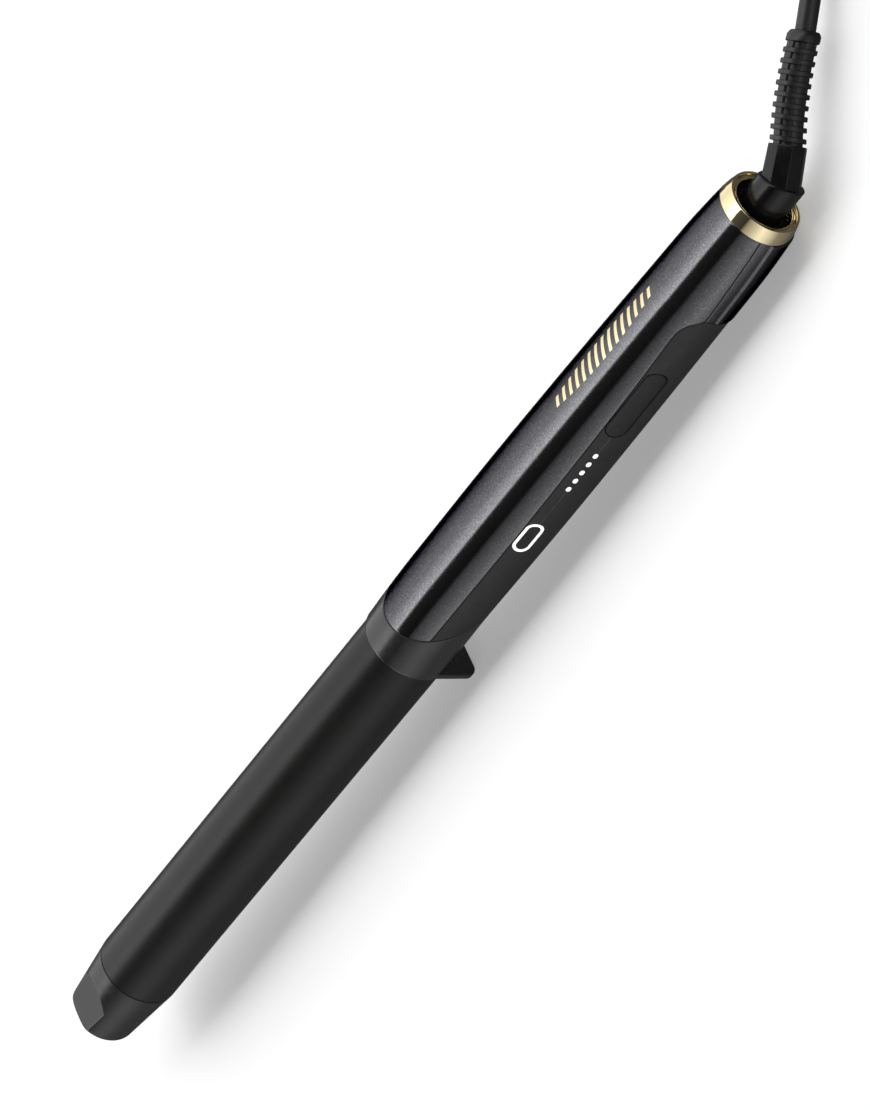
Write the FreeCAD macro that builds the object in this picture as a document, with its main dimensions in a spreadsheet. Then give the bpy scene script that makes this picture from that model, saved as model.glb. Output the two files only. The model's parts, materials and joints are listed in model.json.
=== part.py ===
import FreeCAD, Part
import math
import os
import re

import Sketcher
from FreeCAD import Placement, Rotation, Vector

# A clipless curling wand.  Every piece but the loose cord is drawn in the wand's own frame: X runs
# along the barrel towards the tip, Z is up, away from the foot, and Y points to the side that
# carries the controls.  Its origin is on the barrel's axis at the front edge of the collar.
# The whole wand is then tipped to the attitude in which it rests on its foot and its rear end.

SIZES = {
    # barrel and its root
    "barrel_radius": 14.0,
    "barrel_length": 176.5,
    "barrel_wall": 1.2,
    "neck_radius": 12.8,
    "neck_length": 18.0,
    "neck_clearance": 0.15,
    # cool tip
    "tip_length": 27.5,
    "tip_end_radius": 11.3,
    "tip_rounding": 2.6,
    "tip_spigot": 12.0,
    "tip_clearance": 0.2,
    "tip_gap": 0.3,
    "flat_height": 9.5,
    "flat_start": 9.5,
    "flat_nose": 9.0,
    "tip_anchor_at": 158.0,
    "tip_anchor_thickness": 1.2,
    "tip_screw_radius": 1.5,
    # heater inside the barrel
    "heater_start": 8.0,
    "heater_length": 142.0,
    "heater_clearance": 0.2,
    "chip_length": 42.0,
    "chip_width": 16.0,
    "chip_thickness": 2.2,
    "electrode_thickness": 0.3,
    "film_thickness": 0.5,
    "sensor_height": 7.0,
    "sensor_radius": 1.2,
    "fuse_radius": 2.0,
    "well_clearance": 0.2,
    # insulating carrier that joins barrel, collar and handle
    "carrier_bore": 6.0,
    "carrier_back": 46.0,
    "flange_thickness": 2.8,
    "grub_radius": 1.1,
    "grub_at": 9.0,
    # collar and foot
    "collar_top": 12.4,
    "collar_slope": 0.8,
    "collar_gap": 0.25,
    "foot_drop": 19.9,
    "foot_half_width": 14.3,
    "foot_thickness": 2.0,
    "foot_corner": 3.7,
    # handle, as the radius of its round section at stations behind the collar's front edge
    "rise": 1.25,
    "front_radius": 14.5,
    "root_radius": 14.6,
    "root_at": 32.0,
    "swell_radius": 14.8,
    "swell_at": 75.0,
    "waist_radius": 13.85,
    "waist_at": 160.0,
    "heel_radius": 13.3,
    "heel_at": 186.0,
    "end_radius": 12.3,
    "end_at": 204.0,
    "shell_wall": 1.6,
    # edges between the three handle shells
    "grip_front": 8.5,
    "grip_top": 9.3,
    "grip_end": 160.0,
    "sweep_length": 11.0,
    "seam_height": 5.1,
    "saddle_step": 0.4,
    "saddle_top": 1.5,
    # controls, on a line around the side of the handle
    "panel_angle": 73.7,
    "cap_proud": 0.2,
    "cap_clearance": 0.2,
    "power_at": 71.0,
    "power_length": 10.6,
    "power_width": 4.1,
    "power_ring_width": 0.95,
    "power_travel": 0.5,
    "dot_first": 94.5,
    "dot_pitch": 3.87,
    "dot_radius": 0.85,
    "rocker_at": 133.2,
    "rocker_length": 28.1,
    "rocker_width": 6.9,
    "pivot_radius": 0.75,
    "pivot_clearance": 0.05,
    "pivot_depth": 3.45,
    "ear_thickness": 1.4,
    "ear_length": 4.0,
    "ear_embed": 1.25,
    "switch_offset": 9.4,
    # circuit board behind the controls
    "board_height": 8.4,
    "board_thickness": 1.6,
    "board_front": 56.0,
    "board_length": 104.0,
    "board_width": 17.0,
    "post_radius": 2.8,
    "post_screw": 1.0,
    "screw_inset": 4.0,
    "chassis_depth": 4.6,
    "foot_clearance": 0.45,
    "switch_top": 11.0,
    # end ring and cord swivel
    "ring_length": 4.8,
    "ring_bore": 9.4,
    "ring_spigot": 5.0,
    "ring_lip": 1.3,
    "stub_radius": 6.9,
    "stub_clearance": 0.08,
    "socket_depth": 14.0,
    "socket_reach": 3.2,
    "clip_thickness": 0.8,
    "clip_reach": 1.5,
    "drum_radius": 4.4,
    "drum_length": 11.0,
    "slip_ring_height": 0.5,
    "slip_ring_width": 2.4,
    "brush_clearance": 0.1,
    # swivel elbow and strain relief
    "elbow_reach": 13.5,
    "elbow_bend": 45.0,
    "elbow_turn": 263.0,
    "knee_step": 0.06,
    "block_width": 10.5,
    "block_length": 10.4,
    "rib_radius": 5.2,
    "rib_taper": 0.35,
    "rib_pitch": 3.12,
    "rib_thickness": 1.5,
    "relief_core": 3.95,
    "relief_end": 3.5,
    # cord, its hank and its plug
    "cord_radius": 3.0,
    "hank_radius": 24.0,
    "hank_straight": 33.0,
    "hank_columns": 3,
    "hank_layers": 4,
    "tie_thickness": 1.0,
    "tie_width": 14.0,
    "plug_width": 35.3,
    "plug_height": 13.7,
    "plug_length": 30.0,
    "plug_neck": 9.0,
    "pin_radius": 2.0,
    "pin_length": 19.0,
    "pin_spacing": 19.0,
}
RIB_COUNT = 9
DOT_COUNT = 5
CHIP_COUNT = 3
PIVOT_HEIGHT = "(waist_radius - pivot_depth)"
SOCKET_FRONT = "(end_at - socket_depth)"
SOCKET_BACK = "(end_at + socket_reach)"
ELBOW_AT = "(end_at + elbow_reach)"
CLIP_BACK = "(%s - 0.3)" % SOCKET_FRONT
DRUM_FRONT = "-(%s - clip_thickness - 1.2)" % SOCKET_FRONT
BRUSH_LOW = "rise - drum_radius - slip_ring_height - brush_clearance - 0.4"

doc = FreeCAD.newDocument("curling_wand")
sheet = doc.addObject("Spreadsheet::Sheet", "dims")
for row, (alias, number) in enumerate(SIZES.items(), 1):
    sheet.set("A%d" % row, alias.replace("_", " "))
    sheet.set("B%d" % row, str(number))
    sheet.setAlias("B%d" % row, alias)
doc.recompute()

nodes = []


def cells(text):
    """An expression over size names, with each name pointed at its spreadsheet cell."""
    return re.sub(r"[a-z][a-z_]+", lambda m: "dims." + m.group() if m.group() in SIZES else m.group(), text)


def size(text):
    """The present value of an expression over size names."""
    found = sheet.evalExpression(cells(text))
    return float(getattr(found, "Value", found))


def bind(item, prop, text):
    item.setExpression(prop, cells(text))


def origin_plane(body, role):
    return [feature for feature in body.Origin.OriginFeatures if feature.Role == role][0]


def outline_sketch(body, name, role, outline, lift="0"):
    """A closed outline whose corners are bound to the sheet.

    A corner is (across, up) or (across, up, radius): with a radius, the side that starts there is
    an arc, which bulges to the left of its own direction when the radius is written "-...".
    """
    sketch = body.newObject("Sketcher::SketchObject", name)
    sketch.AttachmentSupport = [(origin_plane(body, role), "")]
    sketch.MapMode = "FlatFace"
    bind(sketch, "AttachmentOffset.Base.y", lift)
    corners = [Vector(size(corner[0]), size(corner[1]), 0) for corner in outline]
    ends = []
    for index, corner in enumerate(outline):
        start = corners[index]
        stop = corners[(index + 1) % len(corners)]
        if len(corner) == 2:
            sketch.addGeometry(Part.LineSegment(start, stop), False)
            ends.append((1, 2))
            continue
        radius = size(corner[2])
        chord = stop - start
        sagitta = abs(radius) - math.sqrt(radius * radius - chord.Length ** 2 / 4)
        left = Vector(-chord.y, chord.x, 0).normalize()
        bulge = left * (sagitta if radius < 0 else -sagitta)
        sketch.addGeometry(Part.Arc(start, (start + stop) * 0.5 + bulge, stop), False)
        ends.append((2, 1) if radius < 0 else (1, 2))
    for index in range(len(outline)):
        after = (index + 1) % len(outline)
        joined = Sketcher.Constraint("Coincident", index, ends[index][1], after, ends[after][0])
        sketch.addConstraint(joined)
    for index, corner in enumerate(outline):
        for kind, text in (("DistanceX", corner[0]), ("DistanceY", corner[1])):
            spot = Sketcher.Constraint(kind, -1, 1, index, ends[index][0], size(text))
            bind(sketch, "Constraints[%d]" % sketch.addConstraint(spot), text)
        if len(corner) == 3:
            bow = Sketcher.Constraint("Radius", index, abs(size(corner[2])))
            bind(sketch, "Constraints[%d]" % sketch.addConstraint(bow), corner[2].lstrip("-"))
    return sketch


def turned(name, outline, lift="0", axis="H_Axis"):
    """A body turned about the X axis, a line above it, or Z, from an outline beside that axis."""
    body = doc.addObject("PartDesign::Body", name)
    sketch = outline_sketch(body, name + "_outline", "XZ_Plane", outline, lift)
    turn = body.newObject("PartDesign::Revolution", name + "_turned")
    turn.Profile = sketch
    turn.ReferenceAxis = (sketch, [axis])
    turn.Angle = 360
    return body


def side_region(name, outline, half_width):
    """A prism across the handle, from an outline in the XZ plane."""
    body = doc.addObject("PartDesign::Body", name)
    sketch = outline_sketch(body, name + "_outline", "XZ_Plane", outline)
    pad = body.newObject("PartDesign::Pad", name + "_pad")
    pad.Profile = sketch
    pad.Midplane = True
    bind(pad, "Length", "2 * (%s)" % half_width)
    return body


def place(item, x="0", y="0", z="0"):
    bind(item, "Placement.Base.x", x)
    bind(item, "Placement.Base.y", y)
    bind(item, "Placement.Base.z", z)
    return item


def rod(name, radius, length, x="0", y="0", z="0", along="X"):
    """A round rod that starts at x, y, z and runs towards + along."""
    item = doc.addObject("Part::Cylinder", name)
    bind(item, "Radius", radius)
    bind(item, "Height", length)
    turns = {
        "X": Rotation(Vector(0, 1, 0), 90),
        "Y": Rotation(Vector(1, 0, 0), -90),
        "Z": Rotation(),
    }
    item.Placement.Rotation = turns[along]
    return place(item, x, y, z)


def block(name, length, width, height, x, y, z):
    """A box whose low corner is at x, centred on y across its width, and low face at z."""
    item = doc.addObject("Part::Box", name)
    bind(item, "Length", length)
    bind(item, "Width", width)
    bind(item, "Height", height)
    return place(item, x, "(%s) - (%s) / 2" % (y, width), z)


def fused(name, items):
    item = doc.addObject("Part::MultiFuse", name)
    item.Shapes = items
    item.Refine = True
    return item


def cut(name, base, tools):
    item = doc.addObject("Part::Cut", name)
    item.Base = base
    item.Tool = tools[0] if len(tools) == 1 else fused(name + "_tools", tools)
    return item


def common(name, base, tool):
    item = doc.addObject("Part::Common", name)
    item.Base = base
    item.Tool = tool
    return item


def grouped(name, items):
    item = doc.addObject("Part::Compound", name)
    item.Links = items
    return item


def stadium(name, length, width, low, high, x, y="0"):
    """An upright pill-shaped prism, long in X, with its middle at x."""
    straight = "((%s) - (%s))" % (length, width)
    depth = "(%s) - (%s)" % (high, low)
    bar = block(name + "_bar", straight, width, depth, "(%s) - %s / 2" % (x, straight), y, low)
    front = rod(name + "_front", "(%s) / 2" % width, depth, "(%s) + %s / 2" % (x, straight), y, low, "Z")
    back = rod(name + "_back", "(%s) / 2" % width, depth, "(%s) - %s / 2" % (x, straight), y, low, "Z")
    return fused(name, [bar, front, back])


def handle_form(name, extra):
    """The handle's outside, offset by extra, as a smooth run of round sections."""
    stations = [
        ("0", "front_radius", "0"),
        ("root_at", "root_radius", "rise"),
        ("swell_at", "swell_radius", "rise"),
        ("waist_at", "waist_radius", "rise"),
        ("heel_at", "heel_radius", "rise"),
        ("end_at", "end_radius", "rise"),
    ]
    rings = []
    for number, (station, radius, height) in enumerate(stations):
        ring = doc.addObject("Part::Circle", "%s_ring_%d" % (name, number))
        ring.Placement.Rotation = Rotation(Vector(0, 1, 0), -90)
        bind(ring, "Radius", "%s + (%s)" % (radius, extra))
        rings.append(place(ring, "-(%s)" % station, "0", height))
    loft = doc.addObject("Part::Loft", name)
    loft.Sections = rings
    loft.Solid = True
    loft.Ruled = False
    return loft


def at_rest(local=None):
    """The wand's attitude on a table: its foot and the heel of its handle touch the surface."""
    low = size("foot_drop")
    heel = size("heel_radius + saddle_step - rise")
    pitch = math.atan2(low - heel, size("heel_at"))
    middle = size("foot_thickness") / 2
    base = Vector(
        middle * math.cos(pitch) - low * math.sin(pitch),
        0,
        middle * math.sin(pitch) + low * math.cos(pitch),
    )
    rest = Placement(base, Rotation(Vector(0, 1, 0), -math.degrees(pitch)))
    return rest.multiply(local) if local else rest


def on_panel():
    """The controls' frame: its Z axis leaves the side of the handle at the panel's angle."""
    tilt = Rotation(Vector(1, 0, 0), -size("panel_angle"))
    return Placement(Vector(0, 0, size("rise")), tilt)


def along_relief():
    """The elbow's frame: its -X axis runs out along the strain relief."""
    bend = math.radians(size("elbow_bend"))
    turn = math.radians(size("elbow_turn"))
    outward = Vector(
        -math.cos(bend),
        math.sin(bend) * math.sin(turn),
        math.sin(bend) * math.cos(turn),
    )
    corner = Vector(-size(ELBOW_AT), 0, size("rise"))
    return Placement(corner, Rotation(Vector(-1, 0, 0), outward))


def node(name, item, placement):
    """Registers one sub-part: its label names its file and its placement puts it in the row."""
    if item.TypeId in ("Part::Box", "Part::Cylinder"):
        item = grouped(name + "_held", [item])
    item.Placement = placement
    item.Label = name
    nodes.append(item)
    return item


def held_tool(name, item, placement):
    """A cutting tool drawn in another frame, carried into the wand's own."""
    holder = grouped(name, [item])
    holder.Placement = placement
    return holder


def plain_node(name, shape, placement=None):
    item = doc.addObject("Part::Feature", name)
    item.Shape = shape
    item.Placement = placement or Placement()
    item.Label = name
    nodes.append(item)
    return item


# ---------------------------------------------------------------- barrel and tip

def barrel():
    bore = "barrel_radius - barrel_wall"
    neck_bore = "neck_radius - barrel_wall"
    tube = turned("barrel_tube_turned", [
        ("-neck_length", neck_bore),
        ("barrel_wall + 1", neck_bore),
        ("2 * barrel_wall + 1", bore),
        ("barrel_length", bore),
        ("barrel_length", "barrel_radius"),
        ("collar_gap", "barrel_radius"),
        ("collar_gap", "neck_radius"),
        ("-neck_length", "neck_radius"),
    ])
    hole = rod("tube_grub_hole", "grub_radius + 0.05", "4 * neck_radius", "-grub_at",
               "-2 * neck_radius", "0", "Y")
    node("barrel_tube", cut("barrel_tube_drilled", tube, [hole]), at_rest())


def cool_tip():
    seat = "barrel_length + tip_gap"
    end = "barrel_length + tip_length"
    spigot = "barrel_radius - barrel_wall - tip_clearance"
    body = turned("tip_turned", [
        ("barrel_length - tip_spigot", "tip_screw_radius - 0.2"),
        ("barrel_length - tip_spigot", spigot),
        (seat, spigot),
        (seat, "barrel_radius - 0.1"),
        (end + " - tip_rounding", "tip_end_radius", "-tip_rounding"),
        (end, "tip_end_radius - tip_rounding"),
        (end, "0"),
        ("barrel_length + 4", "0"),
        ("barrel_length + 4", "tip_screw_radius - 0.2"),
    ])
    nose = "barrel_length + flat_start + flat_nose"
    rounded = rod("flat_nose_tool", "flat_nose", "barrel_radius", nose, "0", "flat_height", "Z")
    straight = block("flat_tool", "tip_length", "2 * flat_nose", "barrel_radius", nose, "0", "flat_height")
    node("cool_tip", cut("tip_flatted", body, [rounded, straight]), at_rest())


def tip_fixing():
    anchor = rod("anchor_disc", "barrel_radius - barrel_wall - 0.05", "tip_anchor_thickness", "tip_anchor_at")
    hole = rod("anchor_hole", "tip_screw_radius", "2 * tip_anchor_thickness", "tip_anchor_at - 0.5")
    node("tip_anchor_plate", cut("anchor_drilled", anchor, [hole]), at_rest())
    head = rod("tip_screw_head", "2 * tip_screw_radius", "2", "tip_anchor_at - 2")
    shank_length = "barrel_length - tip_anchor_at + 2"
    shank = rod("tip_screw_shank", "tip_screw_radius - 0.2", shank_length, "tip_anchor_at")
    node("tip_screw", fused("tip_screw_whole", [head, shank]), at_rest())


# ---------------------------------------------------------------- heater

def heater():
    strip = "chip_thickness / 2 + electrode_thickness"
    flat = strip + " + film_thickness"
    round_radius = "barrel_radius - barrel_wall - heater_clearance"
    for side, low, well_height, well_radius in (
        ("upper", flat, "sensor_height", "sensor_radius"),
        ("lower", "-(%s) - barrel_radius" % flat, "-sensor_height", "fuse_radius"),
    ):
        whole = rod(side + "_round", round_radius, "heater_length", "heater_start")
        half = block(side + "_half", "heater_length", "2 * barrel_radius", "barrel_radius",
                     "heater_start", "0", low)
        bar = common(side + "_bar", whole, half)
        well = rod(side + "_well", well_radius + " + well_clearance", "40", "heater_start - 1", "0",
                   well_height)
        node(side + "_heat_spreader", cut(side + "_welled", bar, [well]), at_rest())
    chips = []
    for number in range(CHIP_COUNT):
        start = "heater_start + 4 + %d * (chip_length + 3)" % number
        chips.append(block("chip_%d" % number, "chip_length", "chip_width", "chip_thickness",
                           start, "0", "-chip_thickness / 2"))
    node("ptc_chips", grouped("ptc_chip_set", chips), at_rest())
    strips = []
    films = []
    for side, strip_low, film_low in (
        ("upper", "chip_thickness / 2", strip),
        ("lower", "-(%s)" % strip, "-(%s)" % flat),
    ):
        strips.append(block(side + "_strip", "heater_length", "chip_width - 2", "electrode_thickness",
                            "heater_start", "0", strip_low))
        films.append(block(side + "_film", "heater_length", "chip_width + 4", "film_thickness",
                           "heater_start", "0", film_low))
    node("electrode_strips", grouped("electrode_strip_pair", strips), at_rest())
    node("insulating_films", grouped("insulating_film_pair", films), at_rest())
    node("temperature_sensor",
         rod("sensor_bead", "sensor_radius", "34", "heater_start", "0", "sensor_height"), at_rest())
    fuse = rod("fuse_can", "fuse_radius", "14", "heater_start + 8", "0", "-sensor_height")
    node("thermal_fuse", fuse, at_rest())


def carrier():
    spigot = "neck_radius - barrel_wall - neck_clearance"
    back = "-(neck_length + neck_clearance + flange_thickness)"
    body = turned("carrier_turned", [
        ("-carrier_back", "carrier_bore"),
        ("2", "carrier_bore"),
        ("2", spigot),
        ("-(neck_length + neck_clearance)", spigot),
        ("-(neck_length + neck_clearance)", "neck_radius - neck_clearance"),
        (back, "neck_radius - neck_clearance"),
        (back, spigot),
        ("-carrier_back", spigot),
    ])
    hole = rod("carrier_grub_hole", "grub_radius + 0.05", "4 * neck_radius", "-grub_at",
               "-2 * neck_radius", "0", "Y")
    node("barrel_carrier", cut("carrier_drilled", body, [hole]), at_rest())
    reach = "neck_radius - 0.1 - carrier_bore - 0.5"
    left = rod("grub_left", "grub_radius", reach, "-grub_at", "-(neck_radius - 0.1)", "0", "Y")
    right = rod("grub_right", "grub_radius", reach, "-grub_at", "carrier_bore + 0.5", "0", "Y")
    node("barrel_grub_screws", grouped("grub_pair", [left, right]), at_rest())


# ---------------------------------------------------------------- collar, foot and handle shells

def edge_x(height, gap):
    """The collar's slanted rear edge: how far back it is at a height, with a gap behind it."""
    top = "(-collar_top - collar_slope * front_radius)"
    return "%s + collar_slope * (%s) - (%s)" % (top, height, gap)


def collar():
    tall = "2 * front_radius"
    wedge = side_region("collar_region", [
        (edge_x("-(%s)" % tall, "0"), "-(%s)" % tall),
        ("front_radius", "-(%s)" % tall),
        ("front_radius", tall),
        (edge_x(tall, "0"), tall),
    ], "2 * front_radius")
    skin = common("collar_skin", handle_form("collar_form", "0"), wedge)
    low = "-foot_drop"
    upper = block("foot_plate", "foot_thickness", "2 * foot_half_width", "foot_drop - foot_corner",
                  "-foot_thickness", "0", low + " + foot_corner")
    lower = block("foot_base", "foot_thickness", "2 * (foot_half_width - foot_corner)", "foot_corner",
                  "-foot_thickness", "0", low)
    corners = []
    for side, sign in (("left", "-"), ("right", "")):
        corners.append(rod("foot_corner_" + side, "foot_corner", "foot_thickness", "-foot_thickness",
                           sign + "(foot_half_width - foot_corner)", low + " + foot_corner"))
    whole = fused("collar_and_foot", [skin, upper, lower] + corners)
    bore = rod("collar_bore", "neck_radius + neck_clearance", "4 * front_radius", "-3 * front_radius")
    node("collar_with_foot", cut("collar_bored", whole, [bore]), at_rest())


def handle_cavity(name):
    """The space inside the shells, with the carrier's seat in front."""
    seat = rod(name + "_seat", "neck_radius - barrel_wall", "carrier_back + 10", "-carrier_back - 8")
    recess_back = "-(neck_length + flange_thickness + 2)"
    recess = rod(name + "_recess", "neck_radius + neck_clearance", "carrier_back", recess_back)
    form = handle_form(name + "_form", "-shell_wall")
    behind = block(name + "_behind", "end_at", "4 * swell_radius", "4 * swell_radius",
                   "-carrier_back - end_at", "0", "-2 * swell_radius")
    return fused(name, [seat, recess, common(name + "_rear", form, behind)])


def sweep():
    """The S-shaped end of the matte grip, as two equal arcs between two level edges."""
    drop = "(grip_top - seam_height)"
    radius = "((sweep_length * sweep_length + %s * %s) / (4 * %s))" % (drop, drop, drop)
    middle = ("-grip_end - sweep_length / 2", "(grip_top + seam_height) / 2")
    return radius, middle


def shells():
    upper_form = cut("upper_form", handle_form("upper_loft", "0"), [handle_cavity("upper_cavity")])
    radius, middle = sweep()
    tall = "2 * swell_radius"
    back = "-end_at - 20"
    upper_region = side_region("upper_region", [
        (edge_x("grip_front", "collar_gap"), "grip_front"),
        (edge_x(tall, "collar_gap"), tall),
        (back, tall),
        (back, "seam_height"),
        ("-grip_end - sweep_length", "seam_height", radius),
        (middle[0], middle[1], "-" + radius),
        ("-grip_end", "grip_top"),
    ], tall)
    node("upper_shell", common("upper_skin", upper_form, upper_region), at_rest())

    bottom = "-(%s)" % tall
    split = "-grip_end - sweep_length"
    grip_region = side_region("grip_region", [
        (edge_x("grip_front", "collar_gap"), "grip_front"),
        ("-grip_end", "grip_top", radius),
        (middle[0], middle[1], "-" + radius),
        (split, "seam_height"),
        (split, bottom),
        (edge_x(bottom, "collar_gap"), bottom),
    ], tall)
    grip_form = cut("grip_form", handle_form("grip_loft", "0"), [handle_cavity("grip_cavity")])
    grip_skin = common("grip_skin", grip_form, grip_region)
    openings = held_tool("control_openings", fused("control_opening_set", control_openings()), on_panel())
    ears = held_tool("rocker_ears", fused("rocker_ear_pair", rocker_ears()), on_panel())
    node("grip_shell", fused("grip_eared", [cut("grip_windowed", grip_skin, [openings]), ears]), at_rest())

    rear_region = side_region("rear_region", [
        (split, "seam_height"),
        (back, "seam_height"),
        (back, bottom),
        (split, bottom),
    ], tall)
    saddle_region = side_region("saddle_region", [
        (split, "saddle_top"),
        (back, "saddle_top"),
        (back, bottom),
        (split, bottom),
    ], tall)
    rear_skin = common("rear_skin", handle_form("rear_form", "0"), rear_region)
    saddle = common("saddle", handle_form("saddle_form", "saddle_step"), saddle_region)
    rear_solid = fused("rear_solid", [rear_skin, saddle])
    node("rear_lower_shell", cut("rear_hollowed", rear_solid, [rear_cavity()]), at_rest())


def rear_cavity():
    form = handle_form("rear_cavity_form", "-shell_wall")
    mouth = rod("rear_mouth", "end_radius - shell_wall", "20", "-end_at - 10", "0", "rise")
    return fused("rear_cavity_whole", [form, mouth])


# ---------------------------------------------------------------- controls

def control_openings():
    """Windows through the grip for the light ring, the dots and the rocker, in the panel's frame."""
    outer = "2 * (power_ring_width + cap_clearance)"
    tools = [
        stadium("power_window", "power_length + " + outer, "power_width + " + outer,
                "10", "20", "-power_at"),
        stadium("rocker_window", "rocker_length + 2 * cap_clearance", "rocker_width + 2 * cap_clearance",
                "10", "20", "-rocker_at"),
    ]
    for number in range(DOT_COUNT):
        tools.append(rod("dot_hole_%d" % number, "dot_radius + 0.05", "10",
                         "-(dot_first + %d * dot_pitch)" % number, "0", "10", "Z"))
    return tools


def rocker_ears():
    """Two ears under the grip that carry the rocker's pivot pin."""
    low = PIVOT_HEIGHT + " - 2.4 * pivot_radius"
    ears = []
    for side, sign in (("left", "-"), ("right", "")):
        middle = sign + "(rocker_width / 2 + cap_clearance + 0.7 * ear_thickness)"
        ear = block("ear_" + side, "ear_length", "ear_thickness", "waist_radius - ear_embed - (%s)" % low,
                    "-rocker_at - ear_length / 2", middle, low)
        hole = rod("ear_hole_" + side, "pivot_radius", "rocker_width", "-rocker_at",
                   "(%s) - rocker_width / 2" % middle, PIVOT_HEIGHT, "Y")
        ears.append(cut("ear_drilled_" + side, ear, [hole]))
    return ears


def proud_cap(name, prism):
    """A cap whose top follows the handle's outside, a little proud of it."""
    form = held_tool(name + "_outside", handle_form(name + "_form", "cap_proud"), on_panel().inverse())
    return common(name + "_cap", prism, form)


def power_button():
    cap = stadium("power_cap", "power_length", "power_width", "12.4", "20", "-power_at")
    flange = stadium("power_flange", "power_length + 1.4", "power_width + 1.4", "11.7", "12.4", "-power_at")
    whole = fused("power_cap_whole", [cap, flange])
    node("power_button", proud_cap("power", whole), at_rest(on_panel()))
    outer = stadium("light_ring_outer", "power_length + 2 * power_ring_width",
                    "power_width + 2 * power_ring_width", "13.0", "20", "-power_at")
    inner = stadium("light_ring_inner", "power_length + 0.16", "power_width + 0.16", "12", "21", "-power_at")
    ring = cut("light_ring_pill", outer, [inner])
    node("button_light_ring", proud_cap("light_ring", ring), at_rest(on_panel()))


def indicator():
    bar_start = "-(dot_first + %d * dot_pitch) - 2" % (DOT_COUNT - 1)
    bar = block("guide_bar", "%d * dot_pitch + 4" % (DOT_COUNT - 1), "4", "1.4", bar_start, "0", "11.2")
    pegs = []
    chips = []
    for number in range(DOT_COUNT):
        spot = "-(dot_first + %d * dot_pitch)" % number
        pegs.append(rod("guide_peg_%d" % number, "dot_radius", "8", spot, "0", "12", "Z"))
        chips.append(block("led_%d" % number, "1.6", "1.0", "0.8", spot + " - 0.8", "0", "board_height"))
    chips.append(block("led_ring", "1.6", "1.0", "0.8", "-power_at + 5", "0", "board_height"))
    guide = fused("guide_whole", [bar] + pegs)
    node("indicator_light_guide", proud_cap("guide", guide), at_rest(on_panel()))
    node("indicator_leds", grouped("led_set", chips), at_rest(on_panel()))


def rocker():
    cap = stadium("rocker_cap", "rocker_length", "rocker_width", "11.9", "20", "-rocker_at")
    boss_low = PIVOT_HEIGHT + " - 2 * pivot_radius"
    boss = block("rocker_boss", "1.1 * ear_length", "rocker_width - 0.8",
                 "waist_radius - 1 - (%s)" % boss_low, "-rocker_at - 0.55 * ear_length", "0", boss_low)
    bore = rod("rocker_bore", "pivot_radius + pivot_clearance", "2 * rocker_width", "-rocker_at",
               "-rocker_width", PIVOT_HEIGHT, "Y")
    whole = cut("rocker_bored", fused("rocker_whole", [cap, boss]), [bore])
    node("temperature_rocker", proud_cap("rocker", whole), at_rest(on_panel()))
    pin_length = "(rocker_width + 2 * cap_clearance + 2.2 * ear_thickness)"
    pin = rod("pivot_pin", "pivot_radius", pin_length, "-rocker_at", "-%s / 2" % pin_length,
              PIVOT_HEIGHT, "Y")
    node("rocker_pivot_pin", pin, at_rest(on_panel()))


# ---------------------------------------------------------------- electronics

def electronics():
    board = block("board_blank", "board_length", "board_width", "board_thickness",
                  "-board_front - board_length", "0", "board_height - board_thickness")
    holes = []
    screws = []
    posts = []
    feet = []
    for end, spot, inside in (
        ("front", "-board_front - screw_inset", "swell_radius - 0.35"),
        ("back", "-board_front - board_length + screw_inset", "waist_radius"),
    ):
        holes.append(rod("board_hole_" + end, "post_screw + 0.2", "6", spot, "0", "board_height - 4", "Z"))
        shank = rod("board_shank_" + end, "post_screw", "7", spot, "0", "board_height - 7", "Z")
        head = rod("board_head_" + end, "2 * post_screw", "1.4", spot, "0", "board_height", "Z")
        screws.append(fused("board_screw_" + end, [shank, head]))
        post = rod("post_" + end, "post_radius", "board_height - board_thickness + 3", spot, "0", "-3", "Z")
        bore = rod("post_bore_" + end, "post_screw", "20", spot, "0", "board_height - 7", "Z")
        posts.append(cut("post_bored_" + end, post, [bore]))
        low = "-(%s - shell_wall - foot_clearance)" % inside
        feet.append(block("chassis_foot_" + end, "2 * post_radius", "2 * post_radius",
                          "-chassis_depth - (%s)" % low, spot + " - post_radius", "0", low))
    node("circuit_board", cut("board_drilled", board, holes), at_rest(on_panel()))
    node("board_screws", grouped("board_screw_pair", screws), at_rest(on_panel()))
    bridge = block("chassis_bridge", "board_length - 2", "2 * post_radius", "chassis_depth - 3",
                   "-board_front - board_length + 1", "0", "-chassis_depth")
    node("board_chassis", fused("chassis_whole", posts + [bridge] + feet), at_rest(on_panel()))

    switches = []
    for name, spot in (
        ("power", "-power_at"),
        ("plus", "-rocker_at + switch_offset"),
        ("minus", "-rocker_at - switch_offset"),
    ):
        base = block("switch_base_" + name, "4.5", "4.5", "1.7", spot + " - 2.25", "0", "board_height")
        plunger = rod("switch_plunger_" + name, "1.2", "switch_top - board_height", spot, "0",
                      "board_height", "Z")
        switches.append(fused("switch_" + name, [base, plunger]))
    node("tact_switches", grouped("tact_switch_set", switches), at_rest(on_panel()))

    under = "board_height - board_thickness"
    parts = (
        ("controller_chip", "7", "7", "1.2", "-93"),
        ("power_triac", "4.6", "10", "8", "-116"),
        ("filter_capacitor", "16", "10", "9", "-84"),
        ("voltage_regulator", "9", "8", "3", "-136"),
    )
    for name, length, width, height, start in parts:
        item = block(name + "_case", length, width, height, start, "0", "%s - (%s)" % (under, height))
        node(name, item, at_rest(on_panel()))


# ---------------------------------------------------------------- end ring and swivel

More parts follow.
